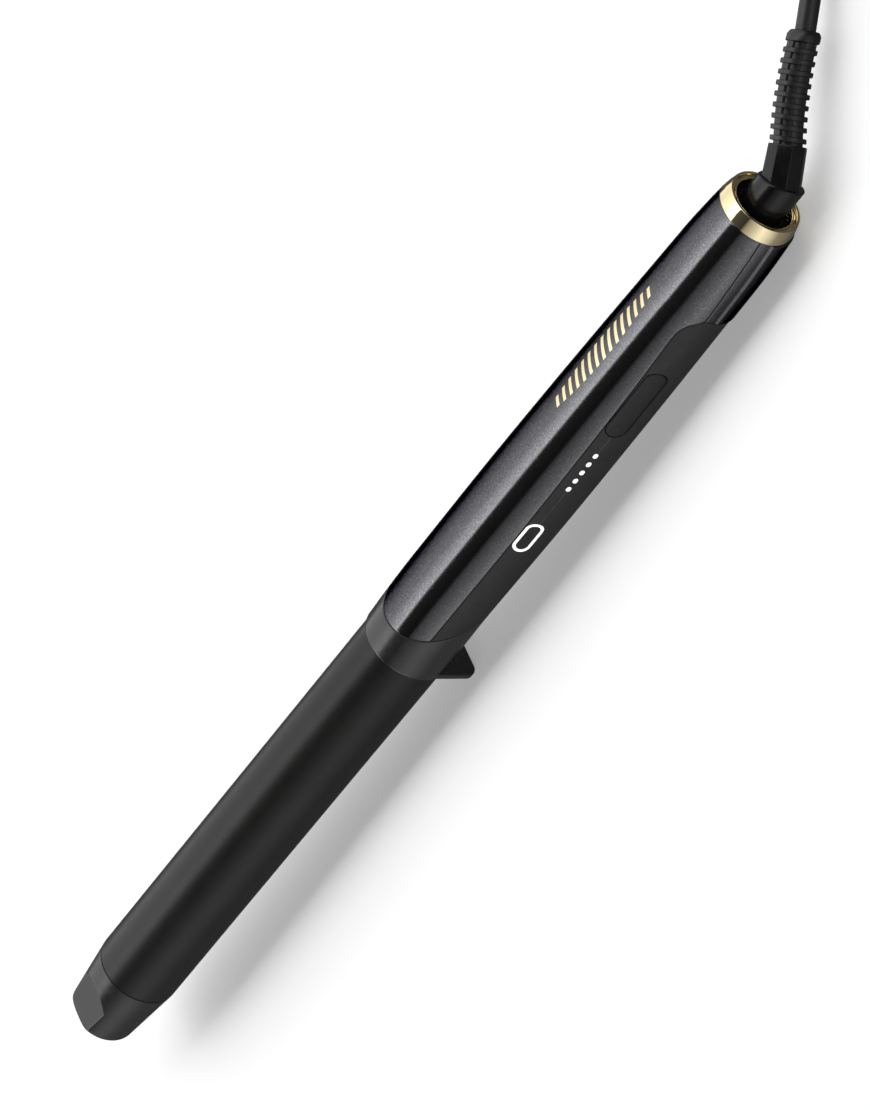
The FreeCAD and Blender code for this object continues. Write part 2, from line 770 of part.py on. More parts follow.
def end_ring():
    back = "-(end_at + ring_length)"
    front = "-(end_at + 0.05)"
    body = turned("end_ring_turned", [
        (back, "ring_bore"),
        ("-(end_at - ring_spigot)", "ring_bore"),
        ("-(end_at - ring_spigot)", "end_radius - shell_wall - 0.1"),
        (front, "end_radius - shell_wall - 0.1"),
        (front, "end_radius"),
        (back + " + ring_lip", "end_radius - 0.55", "-ring_lip"),
        (back, "end_radius - 0.55 - ring_lip"),
    ], "rise")
    node("end_ring", body, at_rest())


def swivel_socket():
    bore = "stub_radius + stub_clearance"
    lip = "(stub_radius + stub_clearance + ring_bore - 0.1) / 2"
    body = turned("socket_turned", [
        ("-" + SOCKET_BACK, bore),
        ("-" + SOCKET_FRONT, bore),
        ("-" + SOCKET_FRONT, "ring_bore + 1.1"),
        ("-(end_at - ring_spigot - 0.2)", "ring_bore + 1.1"),
        ("-(end_at - ring_spigot - 0.2)", "ring_bore - 0.1"),
        ("-(%s - 1)" % SOCKET_BACK, "ring_bore - 0.1"),
        ("-(%s - 1)" % SOCKET_BACK, lip),
        ("-" + SOCKET_BACK, lip),
    ], "rise")
    node("swivel_socket", body, at_rest())


def swivel_contacts():
    clip = turned("clip_turned", [
        ("-" + CLIP_BACK, "stub_radius - 1.2"),
        ("-(%s - clip_thickness)" % CLIP_BACK, "stub_radius - 1.2"),
        ("-(%s - clip_thickness)" % CLIP_BACK, "stub_radius + clip_reach"),
        ("-" + CLIP_BACK, "stub_radius + clip_reach"),
    ], "rise")
    node("retaining_clip", clip, at_rest())
    drum = rod("drum_core", "drum_radius", "drum_length", DRUM_FRONT, "0", "rise")
    bore = rod("drum_bore", "1.5", "drum_length + 2", DRUM_FRONT + " - 1", "0", "rise")
    node("contact_drum", cut("drum_bored", drum, [bore]), at_rest())
    rings = []
    brushes = []
    for name, offset in (("live", "1.6"), ("neutral", "6.8")):
        start = "%s + %s" % (DRUM_FRONT, offset)
        outer = rod("slip_outer_" + name, "drum_radius + slip_ring_height", "slip_ring_width",
                    start, "0", "rise")
        inner = rod("slip_inner_" + name, "drum_radius", "slip_ring_width + 2", start + " - 1", "0", "rise")
        rings.append(cut("slip_ring_" + name, outer, [inner]))
        brushes.append(block("brush_" + name, "slip_ring_width - 0.4", "9", "0.4", start + " + 0.2", "0",
                             BRUSH_LOW))
    node("slip_rings", grouped("slip_ring_pair", rings), at_rest())
    node("brush_contacts", grouped("brush_pair", brushes), at_rest())
    holder = block("holder_block", "drum_length - 1", "10", "3.2", DRUM_FRONT + " + 0.8", "0",
                   "(%s) - 3.2" % BRUSH_LOW)
    node("brush_holder", holder, at_rest())


def swivel_elbow():
    groove_front = "-(%s - clip_thickness - 0.15)" % CLIP_BACK
    groove_back = "-(%s + 0.15)" % CLIP_BACK
    stub = turned("stub_turned", [
        ("-" + ELBOW_AT, "0"),
        (DRUM_FRONT, "0"),
        (DRUM_FRONT, "stub_radius"),
        (groove_front, "stub_radius"),
        (groove_front, "stub_radius - 1.25"),
        (groove_back, "stub_radius - 1.25"),
        (groove_back, "stub_radius"),
        ("-" + ELBOW_AT, "stub_radius"),
    ], "rise")
    arm = block("elbow_arm", "block_length", "block_width", "block_width", "-block_length", "0",
                "-block_width / 2")
    knee = doc.addObject("Part::Sphere", "elbow_knee")
    bind(knee, "Radius", "stub_radius + knee_step")
    bent = held_tool("elbow_outer", fused("elbow_arm_and_knee", [arm, knee]), along_relief())
    node("swivel_elbow", fused("elbow_whole", [stub, bent]), at_rest())


def strain_relief():
    """A ribbed sleeve: its ribs shrink a little from one to the next, and it ends in a collar."""
    start = "-block_length"
    outline = [(start, "0"), (start, "relief_core")]
    for number in range(RIB_COUNT):
        near = "%s - 0.9 - %d * rib_pitch" % (start, number)
        width = "rib_radius - rib_taper * %d / %d" % (number, RIB_COUNT - 1)
        outline.append((near, "relief_core"))
        outline.append((near, width))
        outline.append((near + " - rib_thickness", width))
        outline.append((near + " - rib_thickness", "relief_core"))
    cap = "%s - 0.9 - %d * rib_pitch" % (start, RIB_COUNT)
    outline += [
        (cap, "relief_core"),
        (cap, "rib_radius - rib_taper"),
        (cap + " - relief_end", "rib_radius - rib_taper - 0.3"),
        (cap + " - relief_end", "0"),
    ]
    node("strain_relief", turned("relief_turned", outline), at_rest(along_relief()))
    return size(cap + " - relief_end")


# ---------------------------------------------------------------- wires, cord, hank and plug

def route_wire(points):
    """Straight runs joined by tangent arcs, each as large as its two runs allow."""
    edges = []
    here = points[0]
    radii = []
    for before, corner, after in zip(points, points[1:], points[2:]):
        back = (before - corner)
        ahead = (after - corner)
        turn = math.pi - back.getAngle(ahead)
        reach = 0.45 * min(back.Length, ahead.Length)
        radii.append(reach / math.tan(turn / 2))
        first = corner + Vector(back).normalize() * reach
        last = corner + Vector(ahead).normalize() * reach
        inward = (Vector(back).normalize() + Vector(ahead).normalize()).normalize()
        centre = corner + inward * (radii[-1] / math.cos(turn / 2))
        middle = centre - inward * radii[-1]
        edges.append(Part.LineSegment(here, first).toShape())
        edges.append(Part.Arc(first, middle, last).toShape())
        here = last
    edges.append(Part.LineSegment(here, points[-1]).toShape())
    return Part.Wire(edges), radii


def tube(points, radius, name):
    path, radii = route_wire(points)
    start = points[0]
    ring = Part.Wire([Part.makeCircle(radius, start, points[1] - start)])
    shape = path.makePipeShell([ring], True, True)
    ideal = math.pi * radius * radius * path.Length
    print("%s: length %.1f, radii %s, volume over ideal %.4f" % (
        name, path.Length, [round(value, 1) for value in radii], shape.Volume / ideal))
    return shape


def board_point(x, across, depth):
    """A place under the circuit board, in the wand's own frame."""
    return on_panel().multVec(Vector(x, across, size("board_height - board_thickness") - depth))


def inner_wires():
    """Leads inside the wand: heater and sensor leads to the board, mains leads from the brushes."""
    near = -size("board_front") - 0.5
    strip = size("chip_thickness") / 2 + 0.15
    sets = {"heater_leads": [], "sensor_leads": [], "mains_leads": []}
    for side, heater_end, sensor_end in ((1, 3.2, -3.0), (-1, 6.4, -5.4)):
        sets["heater_leads"].append(tube([
            Vector(size("heater_start"), 3.0 * side, strip * side),
            Vector(-12, 3.0 * side, strip * side),
            Vector(-44, 3.4 * side, 1.8),
            board_point(near, heater_end, 0.9),
        ], 0.8, "heater lead"))
        sets["sensor_leads"].append(tube([
            Vector(size("heater_start"), 0.6 * side, size("sensor_height")),
            Vector(4.5, 0.7 * side, 5.0),
            Vector(-44, 0.3 + side, 3.6),
            board_point(near, sensor_end, 0.5),
        ], 0.4, "sensor lead"))
        holder_front = size(DRUM_FRONT) + 11.6
        sets["mains_leads"].append(tube([
            Vector(holder_front, 1.0 + 2.0 * side, -5.8),
            Vector(holder_front + 8.5, 2.6 + 1.8 * side, -5.6),
            Vector(holder_front + 17.5, 4.6 + 1.2 * side, -5.0),
            Vector(holder_front + 26.0, 6.6 + 0.7 * side, -4.0),
        ], 0.6, "mains lead"))
    for name, leads in sets.items():
        plain_node(name, Part.makeCompound(leads), at_rest())


def cord_route(leave, outward):
    """The cord's corners from the strain relief to its hank, chosen by hand, on the table."""
    return [
        leave,
        leave + outward * 20,
        Vector(-275.0, -55.5, 3.6),
        Vector(-292.0, -63.0, 3.3),
        Vector(-313.0, -66.0, 3.5),
        Vector(-333.0, -66.0, 4.0),
    ]


def tail_route():
    """The cord's corners from its hank's last run, round one more fold on top, to its plug."""
    return [
        Vector(-337.0, -6.0, 22.0),
        Vector(-317.0, -6.0, 23.5),
        Vector(-303.0, -20.0, 26.5),
        Vector(-303.0, -40.0, 29.5),
        Vector(-317.0, -54.0, 31.5),
        Vector(-339.0, -54.0, 31.9),
    ]


def hank_place():
    """The frame of the hank: its origin is on the table under the fold nearest to the wand."""
    return Placement(Vector(-327.0, -36.0, 0), Rotation())


def hank_and_tie():
    """The put-away cord as one long ring with round ends, and a strap round one of its sides."""
    low = "tie_thickness"
    top = "tie_thickness + 2 * hank_layers * cord_radius"
    inner = "hank_radius - hank_columns * cord_radius"
    outer = "hank_radius + hank_columns * cord_radius"
    middle = "-hank_straight / 2"
    ring = stadium("hank_outer", "hank_straight + 2 * (%s)" % outer, "2 * (%s)" % outer, low, top, middle)
    window = stadium("hank_window", "hank_straight + 2 * (%s)" % inner, "2 * (%s)" % inner, "0",
                     "2 * (%s)" % top, middle)
    node("cord_coil", cut("hank_ring", ring, [window]), hank_place())
    width = "2 * hank_columns * cord_radius"
    height = "2 * hank_layers * cord_radius"
    start = middle + " - tie_width / 2"
    strap = block("tie_outer", "tie_width", width + " + 2 * tie_thickness", height + " + 2 * tie_thickness",
                  start, "hank_radius", "0")
    opening = block("tie_opening", "2 * tie_width", width + " + 0.04", height + " + 0.04", start + " - 1",
                    "hank_radius", low + " - 0.02")
    node("cord_tie", cut("tie_strap", strap, [opening]), hank_place())


def plug():
    """A flat two-pin plug that lies on the hank, with its cord at +X of its own frame."""
    lie = Placement(tail_route()[-1], Rotation())
    neck = doc.addObject("Part::Cone", "plug_neck_cone")
    bind(neck, "Radius1", "cord_radius + 1")
    bind(neck, "Radius2", "plug_height / 2 - 1")
    bind(neck, "Height", "plug_neck")
    neck.Placement.Rotation = Rotation(Vector(0, 1, 0), -90)
    wide = doc.addObject("Part::Box", "plug_body_wide")
    bind(wide, "Length", "plug_length")
    bind(wide, "Width", "plug_width - plug_height")
    bind(wide, "Height", "plug_height")
    place(wide, "-plug_neck - plug_length", "-(plug_width - plug_height) / 2", "-plug_height / 2")
    sides = []
    for side, sign in (("left", "-"), ("right", "")):
        sides.append(rod("plug_side_" + side, "plug_height / 2", "plug_length", "-plug_neck - plug_length",
                         sign + "(plug_width - plug_height) / 2", "0"))
    node("plug_body", fused("plug_whole", [neck, wide] + sides), lie)
    pins = []
    for side, sign in (("left", "-"), ("right", "")):
        pins.append(rod("plug_pin_" + side, "pin_radius", "pin_length",
                        "-plug_neck - plug_length - pin_length", sign + "pin_spacing / 2", "0"))
    node("plug_pins", grouped("plug_pin_pair", pins), lie)


def loose_cord(relief_end):
    """The cord from the strain relief down to the table, its hank, its tie and its plug."""
    relief = at_rest(along_relief())
    leave = relief.multVec(Vector(relief_end, 0, 0))
    outward = relief.Rotation.multVec(Vector(-1, 0, 0))
    print("cord leaves at", [round(value, 3) for value in leave], "along",
          [round(value, 4) for value in outward])
    plain_node("cord", tube(cord_route(leave, outward), size("cord_radius"), "cord"))
    plain_node("cord_tail", tube(tail_route(), size("cord_radius"), "cord tail"))
    hank_and_tie()
    plug()


barrel()
cool_tip()
tip_fixing()
heater()
carrier()
collar()
shells()
power_button()
indicator()
rocker()
electronics()
end_ring()
swivel_socket()
swivel_contacts()
swivel_elbow()
relief_end = strain_relief()
doc.recompute()
inner_wires()
loose_cord(relief_end)
doc.recompute()

for item in doc.Objects:
    if "Invalid" in item.State or "Error" in item.State:
        raise RuntimeError("%s failed: %s" % (item.Label, item.State))
os.makedirs("parts", exist_ok=True)
for item in nodes:
    if item.Shape.isNull() or not item.Shape.isValid():
        raise RuntimeError("%s has no valid shape" % item.Label)
    item.Shape.exportStep("parts/%s.step" % item.Label)
    box = item.Shape.BoundBox
    print("%-24s solids %d  volume %9.1f  x %7.1f %7.1f  y %6.1f %6.1f  z %6.1f %6.1f" % (
        item.Label, len(item.Shape.Solids), item.Shape.Volume, box.XMin, box.XMax, box.YMin, box.YMax,
        box.ZMin, box.ZMax))
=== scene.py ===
import json
import math

import bmesh
import bpy
import numpy as np
from mathutils import Matrix, Vector


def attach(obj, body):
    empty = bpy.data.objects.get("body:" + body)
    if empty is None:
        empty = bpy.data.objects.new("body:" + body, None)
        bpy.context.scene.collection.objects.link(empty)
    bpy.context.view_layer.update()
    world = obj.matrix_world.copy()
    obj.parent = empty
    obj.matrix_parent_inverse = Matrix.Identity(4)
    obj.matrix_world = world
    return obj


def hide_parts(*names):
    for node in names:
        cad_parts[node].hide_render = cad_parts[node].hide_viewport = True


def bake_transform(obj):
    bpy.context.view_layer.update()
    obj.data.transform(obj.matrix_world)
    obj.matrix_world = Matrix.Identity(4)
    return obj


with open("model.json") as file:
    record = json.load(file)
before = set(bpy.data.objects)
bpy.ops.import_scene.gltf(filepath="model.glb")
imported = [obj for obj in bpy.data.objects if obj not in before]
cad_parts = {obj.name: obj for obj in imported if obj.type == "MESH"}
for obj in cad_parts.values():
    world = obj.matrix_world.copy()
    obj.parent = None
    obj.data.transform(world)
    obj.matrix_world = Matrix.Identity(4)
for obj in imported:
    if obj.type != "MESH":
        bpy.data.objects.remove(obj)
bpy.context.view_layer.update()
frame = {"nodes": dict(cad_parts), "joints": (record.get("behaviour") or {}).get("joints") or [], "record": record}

# The curling wand's visible pieces.  Lengths here are millimetres in the wand's own frame: X runs
# towards the tip, Z is up and Y points to the side with the controls.  Angles round the wand are
# measured from the top towards that side.

MM = 0.001
SWIVEL_AT = 200.0
RISE = 1.25
FULL_TURN = 2 * math.pi
EDGE = 0.22


def wand_matrix():
    """The wand's own frame in the row frame, from the swivel's axis and place."""
    turn = next(joint for joint in frame["joints"] if joint["name"] == "cord_swivel_turn")
    along = -Vector(turn["axis"]).normalized()
    side = Vector((0, 1, 0))
    up = along.cross(side)
    origin = Vector(turn["pos_m"]) + along * SWIVEL_AT * MM - up * RISE * MM
    matrix = Matrix((along, side, up)).transposed().to_4x4()
    matrix.translation = origin
    return matrix


WAND = wand_matrix()
UPRIGHT = Matrix.Identity(4)

# ---------------------------------------------------------------- camera

LENS = 188.38
CAMERA_AT = Vector((-1128.3, 811.7, 1094.0))
CAMERA_RIGHT = Vector((-0.4926, 0.3807, -0.7826)).normalized()
CAMERA_FORWARD = Vector((0.6265, -0.4691, -0.6225)).normalized()
CAMERA_UP = CAMERA_RIGHT.cross(CAMERA_FORWARD)

camera_data = bpy.data.cameras.new("camera")
camera_data.lens = LENS
camera_data.sensor_width = 36.0
camera_data.clip_end = 20.0
camera = bpy.data.objects.new("camera", camera_data)
bpy.context.scene.collection.objects.link(camera)
facing = Matrix((CAMERA_RIGHT, CAMERA_UP, -CAMERA_FORWARD)).transposed().to_4x4()
facing.translation = CAMERA_AT * MM
camera.matrix_world = WAND @ facing
bpy.context.scene.camera = camera

# ---------------------------------------------------------------- nodes for materials


class Tree:
    """A node tree under construction, with short calls to add and join nodes."""

    def __init__(self, tree):
        self.tree = tree

    def add(self, kind, **settings):
        item = self.tree.nodes.new(kind)
        for key, value in settings.items():
            setattr(item, key, value)
        return item

    def join(self, source, target):
        self.tree.links.new(source, target)

    def spread(self, fac, low, high, start=0.0, stop=1.0):
        item = self.add("ShaderNodeMapRange")
        item.inputs["From Min"].default_value = start
        item.inputs["From Max"].default_value = stop
        item.inputs["To Min"].default_value = low
        item.inputs["To Max"].default_value = high
        self.join(fac, item.inputs["Value"])
        return item.outputs["Result"]

    def ramp(self, fac, stops):
        item = self.add("ShaderNodeValToRGB")
        bar = item.color_ramp.elements
        while len(bar) < len(stops):
            bar.new(0.5)
        for mark, (spot, colour) in zip(bar, stops):
            mark.position = spot
            mark.color = (*colour, 1.0)
        self.join(fac, item.inputs["Fac"])
        return item.outputs["Color"]


class Shade(Tree):
    """A material under construction, built up on its one surface node."""

    def __init__(self, name, **sockets):
        self.material = bpy.data.materials.new(name)
        self.material.use_nodes = True
        super().__init__(self.material.node_tree)
        self.surface = self.tree.nodes["Principled BSDF"]
        self.place = self.add("ShaderNodeTexCoord").outputs["Object"]
        for socket, value in sockets.items():
            self.surface.inputs[socket.replace("_", " ")].default_value = value

    def noise(self, scale, detail=3.0, rough=0.5, stretch=None):
        item = self.add("ShaderNodeTexNoise")
        item.inputs["Scale"].default_value = scale
        item.inputs["Detail"].default_value = detail
        item.inputs["Roughness"].default_value = rough
        source = self.place
        if stretch:
            turn = self.add("ShaderNodeMapping")
            turn.inputs["Scale"].default_value = stretch
            self.join(source, turn.inputs["Vector"])
            source = turn.outputs["Vector"]
        self.join(source, item.inputs["Vector"])
        return item.outputs["Fac"]

    def cells(self, scale):
        item = self.add("ShaderNodeTexVoronoi")
        item.inputs["Scale"].default_value = scale
        self.join(self.place, item.inputs["Vector"])
        return item.outputs["Color"]

    def colour(self, output):
        self.join(output, self.surface.inputs["Base Color"])

    def rough(self, output):
        self.join(output, self.surface.inputs["Roughness"])

    def bump(self, output, depth):
        """Adds a bump of that depth in millimetres on top of the ones before it."""
        item = self.add("ShaderNodeBump")
        item.inputs["Strength"].default_value = 1.0
        item.inputs["Distance"].default_value = depth * MM
        self.join(output, item.inputs["Height"])
        normal = self.surface.inputs["Normal"]
        if normal.is_linked:
            self.join(normal.links[0].from_socket, item.inputs["Normal"])
        self.join(item.outputs["Normal"], normal)


def moulded(name, dark, light, rough, grain=0.012, grain_scale=2600.0, **sockets):
    """Moulded plastic: a fine spark-eroded grain, and slow changes of tone and gloss."""
    shade = Shade(name, **sockets)
    shade.colour(shade.ramp(shade.noise(160.0, 5.0), [(0.3, dark), (0.7, light)]))
    shade.rough(shade.spread(shade.noise(420.0, 4.0), rough - 0.04, rough + 0.05, 0.3, 0.7))
    shade.bump(shade.noise(grain_scale, 2.0), grain)
    return shade


def metal(name, dark, light, rough, streak=(1.0, 1.0, 1.0)):
    """Bare or plated metal with faint lapping marks."""
    shade = Shade(name, Metallic=1.0)
    marks = shade.noise(900.0, 4.0, 0.6, streak)
    shade.colour(shade.ramp(shade.noise(120.0, 4.0), [(0.3, dark), (0.7, light)]))
    shade.rough(shade.spread(marks, rough * 0.75, rough * 1.3, 0.3, 0.7))
    shade.bump(marks, 0.0012)
    return shade


def flake_paint():
    """Dark metallic paint: tiny flakes tilt the surface and catch the light one by one."""
    shade = Shade("flake_paint", Metallic=1.0, Specular_Tint=(0.16, 0.16, 0.17, 1.0))
    flakes = shade.cells(3400.0)
    shade.colour(shade.ramp(flakes, [
        (0.0, (0.086, 0.086, 0.090)), (0.6, (0.116, 0.116, 0.123)), (1.0, (0.175, 0.175, 0.188))]))
    shade.rough(shade.spread(shade.noise(300.0, 4.0), 0.085, 0.115, 0.3, 0.7))
    shade.bump(flakes, 0.0022)
    return shade


def ceramic():
    """The barrel's baked coating: near black, slightly warm, with a fine orange-peel."""
    shade = Shade("ceramic_coating", Specular_IOR_Level=0.24)
    shade.colour(shade.ramp(shade.noise(90.0, 6.0, 0.6), [
        (0.3, (0.0062, 0.0057, 0.0054)), (0.7, (0.0088, 0.0080, 0.0075))]))
    shade.rough(shade.spread(shade.noise(500.0, 5.0), 0.31, 0.37, 0.3, 0.7))
    shade.bump(shade.noise(1500.0, 3.0), 0.008)
    return shade


def rubber(name, base, rough):
    """Soft black PVC, with faint marks drawn along it by its extruder."""
    shade = Shade(name)
    lighter = tuple(1.6 * part for part in base)
    shade.colour(shade.ramp(shade.noise(240.0, 5.0), [(0.3, base), (0.7, lighter)]))
    shade.rough(shade.spread(shade.noise(700.0, 4.0), rough - 0.05, rough + 0.07, 0.3, 0.7))
    shade.bump(shade.noise(1900.0, 3.0), 0.010)
    return shade


def woven(name):
    """A hook-and-loop strap: a fine plain weave with a fuzzy nap."""
    shade = Shade(name, Sheen_Weight=0.5, Sheen_Roughness=0.5)
    for turn in ((0.8, 0.0, 0.0), (0.0, 0.0, 0.8)):
        wave = shade.add("ShaderNodeTexWave", wave_type="BANDS", bands_direction="DIAGONAL")
        wave.inputs["Scale"].default_value = 620.0
        stretch = shade.add("ShaderNodeMapping")
        stretch.inputs["Rotation"].default_value = turn
        shade.join(shade.place, stretch.inputs["Vector"])
        shade.join(stretch.outputs["Vector"], wave.inputs["Vector"])
        shade.bump(wave.outputs["Fac"], 0.10)
    shade.colour(shade.ramp(shade.noise(1300.0, 4.0), [
        (0.3, (0.010, 0.010, 0.011)), (0.7, (0.026, 0.026, 0.028))]))
    shade.rough(shade.spread(shade.noise(800.0), 0.75, 0.95))
    return shade


def glowing(name, tint, strength):
    """A translucent white moulding lit from behind, with a slightly uneven glow."""
    shade = Shade(name, Roughness=0.35, Emission_Strength=strength, Subsurface_Weight=0.3,
                  Subsurface_Scale=0.0005)
    glow = shade.ramp(shade.noise(600.0, 3.0), [(0.3, tuple(0.9 * part for part in tint)), (0.7, tint)])
    shade.colour(glow)
    shade.join(glow, shade.surface.inputs["Emission Color"])
    shade.bump(shade.noise(2200.0, 2.0), 0.006)
    return shade


MATERIALS = {
    "barrel_coating": ceramic(),
    "tip_plastic": moulded("tip_plastic", (0.0105, 0.0100, 0.0108), (0.0140, 0.0135, 0.0142), 0.30, 0.006,
                           Specular_IOR_Level=0.42),
    "collar_plastic": moulded("collar_plastic", (0.0105, 0.0100, 0.0108), (0.0140, 0.0135, 0.0142),
                              0.24, 0.005, Specular_IOR_Level=0.52),
    "flake_plastic": flake_paint(),
    "grip_plastic": moulded("grip_plastic", (0.011, 0.0105, 0.011), (0.015, 0.0145, 0.015),
                            0.50, 0.016, 1900.0, Specular_IOR_Level=0.38),
    "button_plastic": moulded("button_plastic", (0.0050, 0.0048, 0.0050), (0.0070, 0.0067, 0.0070),
                              0.36, 0.010, 1900.0, Specular_IOR_Level=0.34),
    "light_plastic": glowing("light_plastic", (0.95, 0.95, 0.93), 0.75),
    "gold_plating": metal("gold_plating", (0.80, 0.67, 0.39), (0.87, 0.75, 0.47), 0.055, (0.05, 1.0, 1.0)),
    "swivel_plastic": moulded("swivel_plastic", (0.0030, 0.0029, 0.0034), (0.0044, 0.0043, 0.0050),
                              0.22, 0.004, Specular_IOR_Level=0.28),
    "cord_rubber": rubber("cord_rubber", (0.0036, 0.0035, 0.0038), 0.38),
    "tie_fabric": woven("tie_fabric"),
    "aluminium": metal("aluminium", (0.56, 0.57, 0.58), (0.68, 0.69, 0.70), 0.34, (0.1, 1.0, 1.0)),
    "steel": metal("steel", (0.46, 0.46, 0.47), (0.58, 0.58, 0.59), 0.26),
    "brass_contact": metal("brass_contact", (0.60, 0.45, 0.20), (0.72, 0.56, 0.28), 0.24),
    "ceramic": moulded("alumina_ceramic", (0.62, 0.60, 0.55), (0.72, 0.70, 0.66), 0.55),
    "film": moulded("polyimide_film", (0.36, 0.17, 0.03), (0.46, 0.23, 0.05), 0.22),
    "carrier_plastic": moulded("carrier_plastic", (0.030, 0.030, 0.031), (0.042, 0.042, 0.043), 0.52),
    "board_laminate": moulded("board_laminate", (0.010, 0.075, 0.030), (0.016, 0.105, 0.045), 0.38),
    "component_plastic": moulded("component_plastic", (0.014, 0.014, 0.015), (0.022, 0.022, 0.023), 0.42),
    "capacitor_plastic": moulded("capacitor_plastic", (0.42, 0.30, 0.03), (0.50, 0.37, 0.05), 0.40),
    "lead_insulation": moulded("lead_insulation", (0.48, 0.46, 0.42), (0.60, 0.58, 0.54), 0.50),
    "mark_ink": moulded("mark_ink", (0.0028, 0.0028, 0.0030), (0.0040, 0.0040, 0.0042), 0.30),
    "pale_line": moulded("pale_line", (0.030, 0.0295, 0.031), (0.042, 0.0412, 0.043), 0.42),
}

# ---------------------------------------------------------------- mesh helpers


def loft(loops, wrap=False, fill=True):
    """Points and faces of a skin over equal loops.  Open ends are filled by strips across them."""
    count = len(loops[0])
    points = [tuple(point) for loop in loops for point in loop]
    faces = []
    pairs = len(loops) if wrap else len(loops) - 1
    for row in range(pairs):
        here, there = row * count, ((row + 1) % len(loops)) * count
        for column in range(count):
            after = (column + 1) % count
            faces.append((here + column, here + after, there + after, there + column))
    if fill and not wrap:
        for start, flip in ((0, True), ((len(loops) - 1) * count, False)):
            for step in range(count // 2):
                corners = [start + step, start + step + 1, start + (count - step - 1) % count,
                           start + (count - step) % count]
                face = tuple(dict.fromkeys(corners))
                if len(face) > 2:
                    faces.append(face[::-1] if flip else face)
    return points, faces


def ring(x, radius, count, rise=0.0):
    """A circle of points across the wand's length."""
    angles = np.linspace(0, FULL_TURN, count, endpoint=False)
    return [(x, radius * math.sin(angle), rise + radius * math.cos(angle)) for angle in angles]


def softened(corners, closed=True, steps=5):
    """A profile with its corners rounded: each corner is (x, r) or (x, r, radius)."""
    found = []
    count = len(corners)
    for index, corner in enumerate(corners):
        spot = np.array(corner[:2], float)
        ends = 0 < index < count - 1
        if len(corner) < 3 or not (closed or ends):
            found.append(tuple(spot))
            continue
        back = np.array(corners[index - 1][:2], float) - spot
        ahead = np.array(corners[(index + 1) % count][:2], float) - spot
        back_size, ahead_size = np.linalg.norm(back), np.linalg.norm(ahead)
        back, ahead = back / back_size, ahead / ahead_size
        half = math.acos(max(-1.0, min(1.0, float(back @ ahead)))) / 2
        reach = min(corner[2] / math.tan(half), 0.48 * back_size, 0.48 * ahead_size)
        first, last = spot + back * reach, spot + ahead * reach
        for step in range(steps + 1):
            part = step / steps
            found.append(tuple((1 - part) ** 2 * first + 2 * part * (1 - part) * spot + part ** 2 * last))
    return found


def lathe(corners, count, rise=0.0):
    """A closed turned shape from its outline beside the axis, corners rounded."""
    return loft([ring(x, radius, count, rise) for x, radius in softened(corners)], wrap=True)


def spindle(corners, count):
    """A turned shape whose profile runs from one end face to the other."""
    return loft([ring(x, radius, count) for x, radius in softened(corners, False)])


def prism(front, back):
    """A solid between two equal outlines."""
    count = len(front)
    faces = [tuple(range(count)), tuple(range(2 * count - 1, count - 1, -1))]
    for index in range(count):
        after = (index + 1) % count
        faces.append((index, after, count + after, count + index))
    return front + back, faces


def joined(*parts):
    """Several parts as one list of points and one of faces."""
    points, faces = [], []
    for part_points, part_faces in parts:
        base = len(points)
        points += list(part_points)
        faces += [tuple(base + corner for corner in face) for face in part_faces]
    return points, faces


def moved(part, matrix):
    """A part with a matrix applied to its points."""
    return [tuple(matrix @ Vector(point)) for point in part[0]], part[1]


def make(name, part, slot, matrix=WAND, finish=None):
    """A mesh object from points in millimetres and faces."""
    mesh = bpy.data.meshes.new(name)
    mesh.from_pydata([matrix @ (Vector(point) * MM) for point in part[0]], [], part[1])
    item = bpy.data.objects.new(name, mesh)
    bpy.context.scene.collection.objects.link(item)
    tidy_normals(mesh)
    mesh.materials.append(MATERIALS[finish or slot].material)
    return item


def tidy_normals(mesh):
    """Joins doubled points, drops faces of no size and turns all faces outwards."""
    work = bmesh.new()
    work.from_mesh(mesh)
    bmesh.ops.remove_doubles(work, verts=work.verts, dist=2e-7)
    bmesh.ops.dissolve_degenerate(work, edges=work.edges, dist=1e-7)
    bmesh.ops.recalc_face_normals(work, faces=work.faces)
    work.to_mesh(mesh)
    work.free()


def smooth(item, angle=32.0):
    """Smooth shading, with edges sharper than the angle in degrees kept crisp."""
    item.data.shade_smooth()
    item.data.set_sharp_from_angle(angle=math.radians(angle))
    return item


def apply_modifiers(item):
    """Replaces an object's mesh with its mesh after modifiers."""
    bpy.context.view_layer.update()
    graph = bpy.context.evaluated_depsgraph_get()
    made = bpy.data.meshes.new_from_object(item.evaluated_get(graph))
    item.modifiers.clear()
    item.data = made
    return item


def carve(item, tools, operation="DIFFERENCE"):
    """Cuts the tools out of item, or joins them to it, and removes them."""
    for tool in tools:
        change = item.modifiers.new("carve", "BOOLEAN")
        change.operation = operation
        change.solver = "EXACT"
        change.object = tool
    apply_modifiers(item)
    for tool in tools:
        bpy.data.objects.remove(tool)
    while len(item.data.materials) > 1:
        item.data.materials.pop(index=-1)
    return item


def bevel(item, width, segments, angle):
    """Rounds the edges that are sharper than the angle in degrees."""
    change = item.modifiers.new("bevel", "BEVEL")
    change.width = width * MM
    change.segments = segments
    change.limit_method = "ANGLE"
    change.angle_limit = math.radians(angle)
    change.harden_normals = False
    return apply_modifiers(item)


def settle(item, body, *nodes, angle=32.0):
    """Shades a finished piece, puts it on its body and lets it stand for its CAD nodes."""
    smooth(item, angle)
    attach(item, body)
    if nodes:
        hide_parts(*nodes)
    return item


def normal_to(direction, hint):
    """The part of hint that lies across a direction, as a unit vector."""
    flat = hint - direction * direction.dot(hint)
    return flat.normalized()


